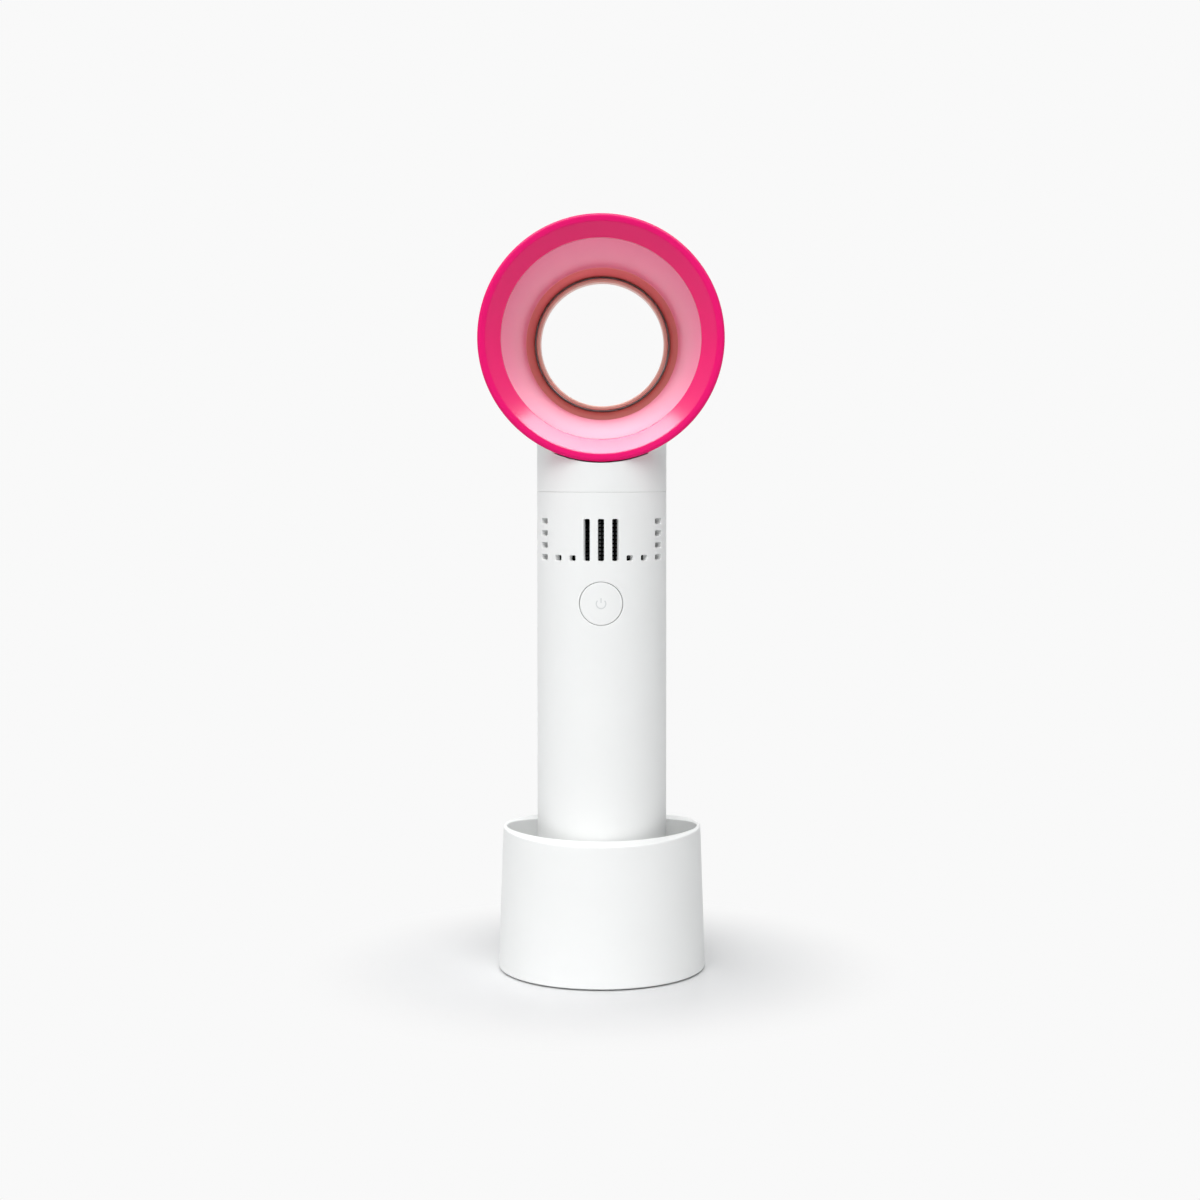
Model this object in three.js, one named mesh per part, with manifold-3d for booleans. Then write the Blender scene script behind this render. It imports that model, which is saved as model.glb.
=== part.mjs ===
// A cordless bladeless hand fan that stands in its charging base.
//
// Millimetres, +Z up. The front looks along -Y. The origin is on the floor,
// under the middle of the base. Lengths named "height" in the fan are measured
// from the fan's own lower end, because the fan lifts out of the base.

import * as THREE from "three";
import { mergeVertices } from "three/addons/utils/BufferGeometryUtils.js";
import Module from "manifold-3d";

const wasm = await Module();
wasm.setup();

// ---------------------------------------------------------------- dimensions

// Clearances
const GAP = 0.3; // between pieces that seat on each other
const SCREW_CLEARANCE = 0.3; // round a screw's shank or head
const OVERCUT = 1; // how far a cutter runs past the face it opens

// Charging base
const BASE_HEIGHT = 38.8; // at the left and right ends of the saddle
const BASE_BOTTOM_RADIUS = 28.1;
const BASE_TOP_RADIUS = 26.8;
const BASE_EDGE_RADIUS = 1.2;
const BASE_WALL = 2;
const SADDLE_DIP = 1.3; // of the rim at front and back
const RECESS_END_WALL = 1; // rim thickness at the left and right ends
const RECESS_CLEARANCE = 0.8; // between handle and recess, front and back
const SOCKET_CLEARANCE = 0.4; // round the handle's lower end
const SOCKET_DEPTH = 6;
const DOCK_FLOOR_HEIGHT = 10;
const DOCK_FLOOR_THICKNESS = 2;
const PLATE_THICKNESS = 1.8;
const FOOT_RADIUS = 4;
const FOOT_STAND = 0.8; // how far the feet stand below the plate
const FOOT_SEAT = 0.7; // depth of a foot's pocket in the plate
const FOOT_INSET = 1.3; // between a foot and the plate's edge
const FOOT_CIRCLE_RADIUS = BASE_BOTTOM_RADIUS - BASE_WALL - GAP - FOOT_INSET - FOOT_RADIUS;
const FOOT_COUNT = 4;

// Base fasteners
const BASE_BOSS_RADIUS = 2.6;
const BASE_BOSS_INSET = 0.6; // between a boss and the plate's edge
const BASE_BOSS_CIRCLE_RADIUS =
  BASE_BOTTOM_RADIUS - BASE_WALL - GAP - BASE_BOSS_INSET - BASE_BOSS_RADIUS;
const BASE_BOSS_ANGLE = 60; // degrees from the left-right axis
const BASE_SCREW_LENGTH = 8;

// Dock electronics
const DOCK_BOARD_HEIGHT = 3.2; // underside above the floor
const DOCK_BOARD_THICKNESS = 1.2;
const DOCK_BOARD_WIDTH = 26;
const DOCK_BOARD_DEPTH = 26;
const DOCK_BOARD_TAIL_WIDTH = 13;
const INLET_WIDTH = 7.5;
const INLET_HEIGHT = 2.6;
const INLET_DEPTH = 5.2;
const INLET_SET_BACK = 0.9; // from the base's widest radius
const INLET_SHELL = 0.4; // sheet thickness of the inlet's metal shell
const INLET_TONGUE_WIDTH = 3.8;
const INLET_TONGUE_THICKNESS = 0.6;
const INLET_MOUTH_MARGIN = 0.6; // round the inlet's mouth in the base wall
const PIN_BLOCK_WIDTH = 15;
const PIN_BLOCK_DEPTH = 6;
const PIN_RADIUS = 0.75;
const PIN_COLLAR_RADIUS = 1.15;
const PIN_COLLAR_HEIGHT = 0.8;
const PIN_TRAVEL = 0.6;
const PIN_TIP_ANGLE = 60; // degrees of rounding before the tip's flat
const CONTACT_SPACING = 10; // between the two charge contacts

// Handle
const HANDLE_RADIUS = 17.5;
const HANDLE_WALL = 1.8;
const CAP_FLANGE_THICKNESS = 2;
const CAP_EDGE_RADIUS = 0.8;
const CAP_SPIGOT_HEIGHT = 5.7;
const CAP_SPIGOT_WALL = 1.6;
const CAP_BOSS_RADIUS = 2.4;
const CAP_SCREW_X = 12;
const CAP_SCREW_Y = 2;
const CAP_SCREW_LENGTH = 12.5;
const PAD_RADIUS = 2.4;
const PAD_THICKNESS = 0.6;
const PAD_STUD_RADIUS = 0.8;
const PAD_STUD_LENGTH = 3.4;

// Vents, cut front to back through the handle's wall
const VENT_SLOT_WIDTH = 1.66;
const VENT_SLOT_HEIGHT = 11.1;
const VENT_BOTTOM_HEIGHT = 101.1;
const VENT_COLUMN_PITCH = 3.8;
const VENT_SLOT_COLUMNS = 1; // full slots on each side of the middle one
const VENT_HOLE_HEIGHT = 1.5;
const VENT_ROW_PITCH = 3.2;
const VENT_TO_SEAM = 7; // from the slots' upper ends
const SEAM_HEIGHT = VENT_BOTTOM_HEIGHT + VENT_SLOT_HEIGHT + VENT_TO_SEAM; // between handle and neck
const SCREEN_THICKNESS = 0.5;
const SCREEN_HOLE_WIDTH = 3.6;
const SCREEN_HOLE_MARGIN = 0.25; // a window is that much shorter than a slot at each end
const SCREEN_HOLE_HEIGHT = VENT_SLOT_HEIGHT - 2 * SCREEN_HOLE_MARGIN;
const SCREEN_ROWS = 1;
const SCREEN_COLUMNS = 18;
const SCREEN_MARGIN = 2; // below the vents

// Power button and switch
const BUTTON_TO_VENTS = 11.2; // from the button's middle to the slots' lower ends
const BUTTON_HEIGHT = VENT_BOTTOM_HEIGHT - BUTTON_TO_VENTS;
const BUTTON_RADIUS = 5.65;
const BUTTON_CLEARANCE = 0.25;
const BUTTON_FLANGE_WIDTH = 1.2;
const BUTTON_FLANGE_THICKNESS = 0.8;
const BUTTON_STEM_RADIUS = 1.6;
const BUTTON_TRAVEL = 0.5;
const SWITCH_SIZE = 6;
const SWITCH_DEPTH = 3.1;
const SWITCH_PLUNGER_RADIUS = 1.7;
const SWITCH_PLUNGER_STANDOUT = 1;
const SWITCH_PLUNGER_LENGTH = 2.1;

// Battery, its carrier and the control board
const BATTERY_RADIUS = 9.1;
const BATTERY_LENGTH = 65;
const BATTERY_OFFSET = 4.5; // towards the back
const BATTERY_EDGE = 0.8;
const BATTERY_TERMINAL_RADIUS = 3;
const BATTERY_TERMINAL_HEIGHT = 0.8;
const CARRIER_END_WALL = 1.8;
const CONTACT_SPRING_HEIGHT = 2.4;
const CONTACT_SPRING_LENGTH = 10;
const CONTACT_STRIP_WIDTH = 5;
const CONTACT_THICKNESS = 0.5;
const BOARD_THICKNESS = 1.2;
const BOARD_WIDTH = 24.4;
const BOARD_LENGTH = 45;
const BOARD_FRONT = 7.2; // front face, forward of the handle's axis
const BOARD_SCREW_X = 10.7;
const BOARD_SCREW_INSET = 3.5;
const BOARD_SCREW_LENGTH = 4.5;
const CHIP_SIZE = 5;
const CHIP_HEIGHT = 1.1;
const CHIP_PLACES = [11, 20]; // above the board's lower edge
const COIL_PLACE = 15.5; // above the board's lower edge
const COIL_RADIUS = 2.6;
const COIL_HEIGHT = 2.6;
const LEAD_RADIUS = 0.55;
const LEAD_SPACING = 9;
const LEAD_CLEARANCE = 1.5; // above the bridge over the cell
const LEAD_BEND = 2.2; // how far it swings forward before it turns
const LEAD_BEND_SHARE = 0.2; // of its drop, straight at its upper end

// Motor
const MOTOR_RADIUS = 10.5;
const MOTOR_LENGTH = 14;
const MOTOR_EDGE = 1;
const MOTOR_BOSS_RADIUS = 3;
const MOTOR_BOSS_HEIGHT = 1.2;
const MOTOR_SCREW_CIRCLE_RADIUS = 7.2;
const MOTOR_SCREW_LENGTH = 4.6;
const END_CAP_THICKNESS = 1.7;
const SHAFT_RADIUS = 1;
const MOUNT_THICKNESS = 2;
const MOUNT_RING_WIDTH = 1.1;
const MOUNT_ARM_COUNT = 3;
const MOUNT_ARM_ANGLE = 24; // degrees

// Impeller and the duct round it
const DUCT_WALL = 0.8;
const DUCT_HEIGHT = 12.8;
const DUCT_DEPTH = 4.4; // how far it stands down into the handle
const BLADE_COUNT = 9;
const BLADE_TIP_CLEARANCE = 0.5;
const BLADE_THICKNESS = 0.8;
const BLADE_WRAP = 52; // degrees from leading to trailing edge at the hub
const BLADE_TIP_WRAP = 34; // degrees at the tip
const IMPELLER_HEIGHT = 7.8;
const IMPELLER_LIFT = 0.8; // above the motor mount
const HUB_INLET_RADIUS = 4.6;
const HUB_OUTLET_RADIUS = 7.8;
const HUB_ROOF = 1.7; // over the end of the shaft
const HUB_RIM_HEIGHT = 1;
const BLADE_ROOT = 0.6; // how far a blade stands into its hub
const BLADE_STATIONS = 2; // from hub to tip
const BLADE_STEPS = 5; // along the chord
const BLADE_CAMBER = 0.35; // share of the wrap that is spent early
const BLADE_EDGE_SHARE = 0.37; // of the full thickness, at both edges
const VANE_COUNT = 7;
const VANE_HEIGHT = 3.6;
const VANE_WRAP = 22; // degrees
const VANE_THICKNESS = 0.9;
const VANE_HUB_RADIUS = 7.8;
const VANE_HUB_NOSE = 2.5;
const VANE_HUB_SHOULDER = 2; // height of the nose at half its radius
const VANE_STATIONS = 2;
const VANE_STEPS = 2;

// Head: a ring about the axis that runs front to back
const NECK_HEIGHT = 40.5; // from the seam to the ring's axis
const HEAD_HEIGHT = SEAM_HEIGHT + NECK_HEIGHT;
const HEAD_RADIUS = 32.45;
const HEAD_DEPTH = 35;
const HEAD_WALL = 1.6;
const HEAD_BACK_ROUND = 6;
const RIM_DEPTH = 5.5;
const RIM_EDGE_RADIUS = 0.9;
const RIM_LIP_WIDTH = 1.95;
const RIM_LIP_SET_BACK = 0.25;
const RIM_FLANK_DEPTH = 3.9;
const RIM_WALL = 1.6;
const RIM_FACE_THICKNESS = 2.2;
const FUNNEL_FRONT_RADIUS = 26.45;
const FUNNEL_BACK_RADIUS = 20.9;
const FUNNEL_WAIST_RADIUS = 21.9; // pulls the bell curve inwards
const FUNNEL_LENGTH = 22.5;
const FUNNEL_WAIST_SHARE = 0.45; // of the length, from the front
const FUNNEL_WALL = 1.4;
const FUNNEL_FLANGE_THICKNESS = 1.2;
const FUNNEL_STEPS = 4;
const NOZZLE_BAND_DEPTH = 2.3;
const NOZZLE_LAND = 1.2; // straight wall beside the air slit
const SLIT_WIDTH = 0.5;
const THROAT_RADIUS = 16.97;
const THROAT_WALL = 1.2;
const THROAT_LENGTH = 4.7;
const THROAT_EDGE_RADIUS = 0.4;
const THROAT_FLARE = 0.2; // wider at the front, where the air leaves the slit

// Small screws
const SCREW_SHANK_RADIUS = 0.9;
const SCREW_HEAD_RADIUS = 1.7;
const SCREW_HEAD_HEIGHT = 1;

// Facets round a full turn
const LARGE_FACETS = 32;
const MEDIUM_FACETS = 20;
const SMALL_FACETS = 12;
const SCREW_FACETS = 8;
const ARC_STEPS = 3;
const SADDLE_STEPS = 12;

// ------------------------------------------------------------ derived places

const shankHole = SCREW_SHANK_RADIUS + SCREW_CLEARANCE;
const headHole = SCREW_HEAD_RADIUS + SCREW_CLEARANCE;

const handleBore = HANDLE_RADIUS - HANDLE_WALL;
const insertRadius = handleBore - GAP; // what slides into the handle
const tubeBottom = CAP_FLANGE_THICKNESS + GAP;
const plateRadius = BASE_BOTTOM_RADIUS - BASE_WALL - GAP;
const boardTop = DOCK_BOARD_HEIGHT + DOCK_BOARD_THICKNESS;
const dockUnderside = DOCK_FLOOR_HEIGHT - DOCK_FLOOR_THICKNESS;
const recessFloor = DOCK_FLOOR_HEIGHT + SOCKET_DEPTH;
const recessHalfLength = BASE_TOP_RADIUS - RECESS_END_WALL;
const recessHalfDepth = HANDLE_RADIUS + RECESS_CLEARANCE;
const inletBack = BASE_BOTTOM_RADIUS - INLET_SET_BACK;
const wallInside = BASE_BOTTOM_RADIUS - BASE_WALL;
const inletBottom = boardTop + GAP;
const screwSeatHeight = FOOT_STAND + SCREW_HEAD_HEIGHT;
const screwTip = screwSeatHeight + BASE_SCREW_LENGTH;
const pinCollarTop = boardTop + 2 * GAP + PIN_TRAVEL + PIN_COLLAR_HEIGHT;
const contactPlaces = [-1, 1].map((side) => [(side * CONTACT_SPACING) / 2, 0]);
const capScrewPlaces = [-1, 1].map((side) => [side * CAP_SCREW_X, CAP_SCREW_Y]);
const capScrewSeat = SCREW_HEAD_HEIGHT + GAP;

const carrierBottom = CAP_FLANGE_THICKNESS + CAP_SPIGOT_HEIGHT + GAP;
const cellBottom = carrierBottom + CARRIER_END_WALL + CONTACT_SPRING_HEIGHT + 2 * GAP;
const cellTop = cellBottom + BATTERY_LENGTH;
const topContact = cellTop + GAP;
const cellSpaceTop = topContact + CONTACT_THICKNESS + GAP;
const cellPocket = BATTERY_RADIUS + GAP;
const bridgeTop = cellSpaceTop + CARRIER_END_WALL;

const ductBottom = SEAM_HEIGHT - DUCT_DEPTH;
const mountTop = ductBottom - GAP;
const mountBottom = mountTop - MOUNT_THICKNESS;
const mountScrewSeat = mountTop - SCREW_HEAD_HEIGHT;
const motorScrewPlaces = [-1, 1].map((side) => [side * MOTOR_SCREW_CIRCLE_RADIUS, 0]);
const motorTop = mountBottom - GAP;
const motorBottom = motorTop - MOTOR_LENGTH;
const endCapBottom = motorBottom - GAP - END_CAP_THICKNESS;
const carrierTop = endCapBottom - GAP;
const boardLower = carrierTop - BOARD_LENGTH;
const boardFace = -BOARD_FRONT;
const boardBack = boardFace + BOARD_THICKNESS;
const boardScrewPlaces = [
  [-BOARD_SCREW_X, carrierTop - BOARD_SCREW_INSET],
  [BOARD_SCREW_X, boardLower + BOARD_SCREW_INSET],
];
const switchBack = boardFace - GAP;
const switchFace = switchBack - SWITCH_DEPTH;
const plungerTip = switchFace - SWITCH_PLUNGER_STANDOUT;
const flangeRadius = BUTTON_RADIUS + BUTTON_FLANGE_WIDTH;
const flangeFront = GAP - Math.sqrt(handleBore ** 2 - flangeRadius ** 2);
const flangeBack = flangeFront + BUTTON_FLANGE_THICKNESS;
const ductBore = insertRadius - DUCT_WALL;
const impellerBottom = mountTop + IMPELLER_LIFT;
const bladeTip = ductBore - BLADE_TIP_CLEARANCE;
const vaneTop = ductBottom + DUCT_HEIGHT;

const headFront = -HEAD_DEPTH / 2;
const headBack = HEAD_DEPTH / 2;
const rimSeam = headFront + RIM_DEPTH;
const shellFront = rimSeam + GAP;
const shellBore = HEAD_RADIUS - HEAD_WALL;
const backWallFront = headBack - HEAD_WALL;
const funnelBack = shellFront + FUNNEL_LENGTH;
const throatOuter = THROAT_RADIUS + THROAT_WALL;
const slitOuter = throatOuter + SLIT_WIDTH;
const throatHole = throatOuter + GAP;

// -------------------------------------------------------------------- looks

const look = (color, roughness, metalness = 0) =>
  new THREE.MeshStandardMaterial({ color, roughness, metalness });

const WHITE = look(0xf1f3f2, 0.35);
const MAGENTA = look(0xe82374, 0.3);
const PALE_PINK = look(0xf2b4c8, 0.35);
const COPPER = look(0xb4604e, 0.3, 0.6);
const TAN_COPPER = look(0xc89682, 0.3, 0.6);
const BLACK = look(0x141214, 0.7);
const GREY = look(0x8f9293, 0.5);
const RUBBER = look(0x5b5d5e, 0.9);
const BOARD_GREEN = look(0x1f6b43, 0.5);
const STEEL = look(0xb9bcbf, 0.3, 1);
const GOLD = look(0xd4a94e, 0.3, 1);
const CELL_WRAP = look(0x2f7fb8, 0.35);
const LEAD_RED = look(0xb02222, 0.5);
const LEAD_BLACK = look(0x1d1d1f, 0.5);

// ------------------------------------------------------------- solid modelling

// A closed mesh as a solid, with its faces turned outwards.
function solidOf(shape) {
  if (shape instanceof wasm.Manifold) return shape;
  const bare = shape.index ? shape.toNonIndexed() : shape.clone();
  bare.deleteAttribute("normal");
  bare.deleteAttribute("uv");
  const merged = mergeVertices(bare, 1e-4);
  const vertProperties = merged.attributes.position.array;
  const triVerts = withoutSlivers(merged.index.array);
  if (signedVolume(vertProperties, triVerts) < 0) triVerts.reverse();
  return new wasm.Manifold(new wasm.Mesh({ numProp: 3, vertProperties, triVerts }));
}

// Triangles at a pole of a turned shape share a corner twice and are left out.
function withoutSlivers(index) {
  const kept = [];
  for (let i = 0; i < index.length; i += 3) {
    const [a, b, c] = [index[i], index[i + 1], index[i + 2]];
    if (a !== b && b !== c && c !== a) kept.push(a, b, c);
  }
  return new Uint32Array(kept);
}

function signedVolume(points, triangles) {
  const corner = (i) => new THREE.Vector3().fromArray(points, 3 * triangles[i]);
  let sum = 0;
  for (let i = 0; i < triangles.length; i += 3) {
    sum += corner(i).dot(corner(i + 1).cross(corner(i + 2))) / 6;
  }
  return sum;
}

const join = (first, ...others) =>
  others.reduce((sum, other) => sum.add(solidOf(other)), solidOf(first));

const cut = (first, ...others) =>
  others.reduce((left, other) => left.subtract(solidOf(other)), solidOf(first));

const common = (first, second) => solidOf(first).intersect(solidOf(second));

function geometryOf(shape) {
  const { vertProperties, triVerts } = solidOf(shape).getMesh();
  const geometry = new THREE.BufferGeometry();
  geometry.setAttribute("position", new THREE.BufferAttribute(vertProperties, 3));
  geometry.setIndex(new THREE.BufferAttribute(triVerts, 1));
  geometry.computeVertexNormals();
  return geometry;
}

function piece(name, shape, material, at = [0, 0, 0]) {
  const mesh = new THREE.Mesh(geometryOf(shape), material);
  mesh.name = name;
  mesh.position.set(...at);
  return mesh;
}

function assembly(at, ...members) {
  const group = new THREE.Group();
  group.position.set(...at);
  group.add(...members);
  return group;
}

// A profile of [radius, height] points turned about Z.
function turned(profile, facets = LARGE_FACETS) {
  return turnedAboutY(profile, facets).rotateX(Math.PI / 2);
}

// A profile of [radius, depth] points turned about the front-to-back axis.
function turnedAboutY(profile, facets = LARGE_FACETS) {
  const points = profile.map(([radius, along]) => new THREE.Vector2(radius, along));
  return new THREE.LatheGeometry(points, facets);
}

const closed = (profile) => [...profile, profile[0]];

const rod = (radius, bottom, top, facets = SMALL_FACETS) =>
  turned([[0, bottom], [radius, bottom], [radius, top], [0, top]], facets);

const rodAlongY = (radius, near, far, facets = SMALL_FACETS) =>
  turnedAboutY([[0, near], [radius, near], [radius, far], [0, far]], facets);

const sleeve = (outer, inner, bottom, top) =>
  turned(closed([[outer, bottom], [outer, top], [inner, top], [inner, bottom]]));

// A box from its lowest to its highest corner.
function block(low, high) {
  const size = high.map((value, i) => value - low[i]);
  const middle = high.map((value, i) => (value + low[i]) / 2);
  return new THREE.BoxGeometry(...size).translate(...middle);
}

// An outline in X and Y carried up from one height to another.
function prism(shape, bottom, top) {
  const settings = { depth: top - bottom, bevelEnabled: false, curveSegments: LARGE_FACETS / 2 };
  return new THREE.ExtrudeGeometry(shape, settings).translate(0, 0, bottom);
}

// An outline in X and Z carried from one depth to another along Y.
function prismAlongY(shape, near, far, curveSegments = 1) {
  const settings = { depth: far - near, bevelEnabled: false, curveSegments };
  const geometry = new THREE.ExtrudeGeometry(shape, settings);
  return geometry.rotateX(Math.PI / 2).translate(0, far, 0);
}

function oval(halfLength, halfDepth) {
  return new THREE.Shape().absellipse(0, 0, halfLength, halfDepth, 0, 2 * Math.PI);
}

// A slot with round ends, standing up when it is taller than wide.
function stadium(width, height) {
  const round = Math.min(width, height) / 2;
  const [x, y] = [width / 2 - round, height / 2 - round];
  const shape = new THREE.Shape();
  shape.absarc(x, y, round, 0, Math.PI / 2);
  shape.absarc(-x, y, round, Math.PI / 2, Math.PI);
  shape.absarc(-x, -y, round, Math.PI, 1.5 * Math.PI);
  shape.absarc(x, -y, round, 1.5 * Math.PI, 2 * Math.PI);
  return shape;
}

// Points on an arc of a profile, angles in degrees.
function arc([x, y], radius, from, to, steps = ARC_STEPS) {
  return Array.from({ length: steps + 1 }, (_, i) => {
    const angle = THREE.MathUtils.degToRad(from + ((to - from) * i) / steps);
    return [x + radius * Math.cos(angle), y + radius * Math.sin(angle)];
  });
}

// A screw that points up, with the underside of its head at height 0.
function screw(length) {
  const tip = length - SCREW_SHANK_RADIUS;
  return turned(
    [
      [0, -SCREW_HEAD_HEIGHT],
      [SCREW_HEAD_RADIUS, -SCREW_HEAD_HEIGHT],
      [SCREW_HEAD_RADIUS, 0],
      [SCREW_SHANK_RADIUS, 0],
      [SCREW_SHANK_RADIUS, tip],
      [0, length],
    ],
    SCREW_FACETS,
  );
}

// The space that such a screw needs, head side open.
function screwSpace(length, headRoom) {
  const shank = rod(shankHole, -OVERCUT, length + GAP, SCREW_FACETS);
  return join(shank, rod(headHole, -SCREW_HEAD_HEIGHT - headRoom, 0));
}

// A thin curved plate between two grids of points, such as a blade.
// point(side, i, j) gives the place of station i and chord step j on side 0 or 1.
function slab(point, stations, steps) {
  const corners = [];
  const quad = (a, b, c, d) => corners.push(a, b, c, a, c, d);
  const p = (side, i, j) => point(side, i, j);
  for (let i = 0; i < stations; i++) {
    for (let j = 0; j < steps; j++) {
      quad(p(0, i, j), p(0, i, j + 1), p(0, i + 1, j + 1), p(0, i + 1, j));
      quad(p(1, i, j), p(1, i + 1, j), p(1, i + 1, j + 1), p(1, i, j + 1));
    }
    quad(p(0, i, 0), p(0, i + 1, 0), p(1, i + 1, 0), p(1, i, 0));
    quad(p(0, i + 1, steps), p(0, i, steps), p(1, i, steps), p(1, i + 1, steps));
  }
  for (let j = 0; j < steps; j++) {
    quad(p(0, 0, j + 1), p(0, 0, j), p(1, 0, j), p(1, 0, j + 1));
    quad(p(0, stations, j), p(0, stations, j + 1), p(1, stations, j + 1), p(1, stations, j));
  }
  return new THREE.BufferGeometry().setFromPoints(corners);
}

// ------------------------------------------------------------ charging base

const bossPlaces = [1, -1].flatMap((side) =>
  [BASE_BOSS_ANGLE, 180 - BASE_BOSS_ANGLE].map((degrees) => {
    const angle = side * THREE.MathUtils.degToRad(degrees);
    const radius = BASE_BOSS_CIRCLE_RADIUS;
    return [radius * Math.cos(angle), radius * Math.sin(angle)];
  }),
);

const footPlaces = Array.from({ length: FOOT_COUNT }, (_, i) => {
  const angle = (2 * Math.PI * i) / FOOT_COUNT;
  return [FOOT_CIRCLE_RADIUS * Math.cos(angle), FOOT_CIRCLE_RADIUS * Math.sin(angle)];
});

function baseOutside() {
  const edge = BASE_EDGE_RADIUS;
  const round = arc([BASE_BOTTOM_RADIUS - edge, FOOT_STAND + edge], edge, -90, 0);
  return turned([[0, FOOT_STAND], ...round, [BASE_TOP_RADIUS, BASE_HEIGHT], [0, BASE_HEIGHT]]);
}

// The rim is highest at the left and right ends and dips at front and back.
function saddleCut() {
  const low = BASE_HEIGHT - SADDLE_DIP;
  const reach = BASE_TOP_RADIUS + OVERCUT;
  const above = BASE_HEIGHT + 4 * OVERCUT;
  const shape = new THREE.Shape();
  shape.moveTo(-reach, above);
  for (let i = 0; i <= SADDLE_STEPS; i++) {
    const x = reach * (-1 + (2 * i) / SADDLE_STEPS);
    shape.lineTo(x, low + SADDLE_DIP * (x / BASE_TOP_RADIUS) ** 2);
  }
  shape.lineTo(reach, above);
  return prismAlongY(shape, -BASE_BOTTOM_RADIUS - OVERCUT, BASE_BOTTOM_RADIUS + OVERCUT);
}

// The oval recess leaves finger room at the sides of the handle, and the round
// socket at its foot holds the handle upright.
function handleRecess() {
  const top = BASE_HEIGHT + OVERCUT;
  const socketRadius = HANDLE_RADIUS + SOCKET_CLEARANCE;
  return join(
    prism(oval(recessHalfLength, recessHalfDepth), recessFloor, top),
    rod(socketRadius, DOCK_FLOOR_HEIGHT, recessFloor + OVERCUT, LARGE_FACETS),
  );
}

// The hollow under the recess and round it, open at the bottom.
function baseHollow() {
  const hollowTop = BASE_HEIGHT - SADDLE_DIP - BASE_WALL;
  const space = turned([
    [0, FOOT_STAND - OVERCUT],
    [BASE_BOTTOM_RADIUS - BASE_WALL, FOOT_STAND - OVERCUT],
    [BASE_BOTTOM_RADIUS - BASE_WALL, FOOT_STAND],
    [BASE_TOP_RADIUS - BASE_WALL, hollowTop],
    [0, hollowTop],
  ]);
  const core = oval(recessHalfLength + BASE_WALL, recessHalfDepth + BASE_WALL);
  return cut(space, prism(core, dockUnderside, BASE_HEIGHT));
}

function inletMouth() {
  const width = INLET_WIDTH + 2 * INLET_MOUTH_MARGIN;
  const height = INLET_HEIGHT + 2 * INLET_MOUTH_MARGIN;
  const outside = BASE_BOTTOM_RADIUS + OVERCUT;
  const mouth = prismAlongY(stadium(width, height), wallInside - BASE_WALL, outside);
  return mouth.translate(0, 0, inletBottom + INLET_HEIGHT / 2);
}

function makeBaseShell() {
  const bossBottom = FOOT_STAND + PLATE_THICKNESS + GAP;
  const bossTop = BASE_HEIGHT - SADDLE_DIP - BASE_WALL;
  const bosses = bossPlaces.map(([x, y]) =>
    rod(BASE_BOSS_RADIUS, bossBottom, bossTop).translate(x, y, 0),
  );
  const screws = bossPlaces.map(([x, y]) =>
    rod(shankHole, 0, screwTip + GAP, SCREW_FACETS).translate(x, y, 0),
  );
  const pins = contactPlaces.map(([x, y]) =>
    rod(PIN_RADIUS + GAP, dockUnderside - OVERCUT, DOCK_FLOOR_HEIGHT + OVERCUT).translate(x, y, 0),
  );
  const hollow = cut(baseHollow(), ...bosses);
  return cut(baseOutside(), saddleCut(), handleRecess(), hollow, inletMouth(), ...screws, ...pins);
}

function makeBasePlate() {
  const plate = rod(plateRadius, FOOT_STAND, FOOT_STAND + PLATE_THICKNESS, LARGE_FACETS);
  const pockets = footPlaces.map(([x, y]) =>
    rod(FOOT_RADIUS + GAP, 0, FOOT_STAND + FOOT_SEAT).translate(x, y, 0),
  );
  const holes = bossPlaces.map(([x, y]) =>
    screwSpace(BASE_SCREW_LENGTH, OVERCUT).translate([x, y, screwSeatHeight]),
  );
  return cut(plate, ...pockets, ...holes);
}

function makeFoot() {
  const height = FOOT_STAND + FOOT_SEAT - GAP;
  return rod(FOOT_RADIUS, 0, height);
}

// A broad board with a narrow tail that carries the inlet to the back wall.
function makeDockBoard() {
  const tailEnd = Math.sqrt(plateRadius ** 2 - (DOCK_BOARD_TAIL_WIDTH / 2) ** 2) - GAP;
  const half = DOCK_BOARD_DEPTH / 2;
  const wide = block(
    [-DOCK_BOARD_WIDTH / 2, -half, DOCK_BOARD_HEIGHT],
    [DOCK_BOARD_WIDTH / 2, half, boardTop],
  );
  const tail = block(
    [-DOCK_BOARD_TAIL_WIDTH / 2, half - OVERCUT, DOCK_BOARD_HEIGHT],
    [DOCK_BOARD_TAIL_WIDTH / 2, tailEnd, boardTop],
  );
  return join(wide, tail);
}

function makeInlet() {
  const shell = prismAlongY(stadium(INLET_WIDTH, INLET_HEIGHT), inletBack - INLET_DEPTH, inletBack);
  const inner = stadium(INLET_WIDTH - 2 * INLET_SHELL, INLET_HEIGHT - 2 * INLET_SHELL);
  const hollowEnd = inletBack - INLET_DEPTH + INLET_SHELL;
  const hollow = prismAlongY(inner, hollowEnd, inletBack + OVERCUT);
  const tongue = block(
    [-INLET_TONGUE_WIDTH / 2, hollowEnd - INLET_SHELL / 2, -INLET_TONGUE_THICKNESS / 2],
    [INLET_TONGUE_WIDTH / 2, inletBack - INLET_SHELL, INLET_TONGUE_THICKNESS / 2],
  );
  return join(cut(shell, hollow), tongue);
}

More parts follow.
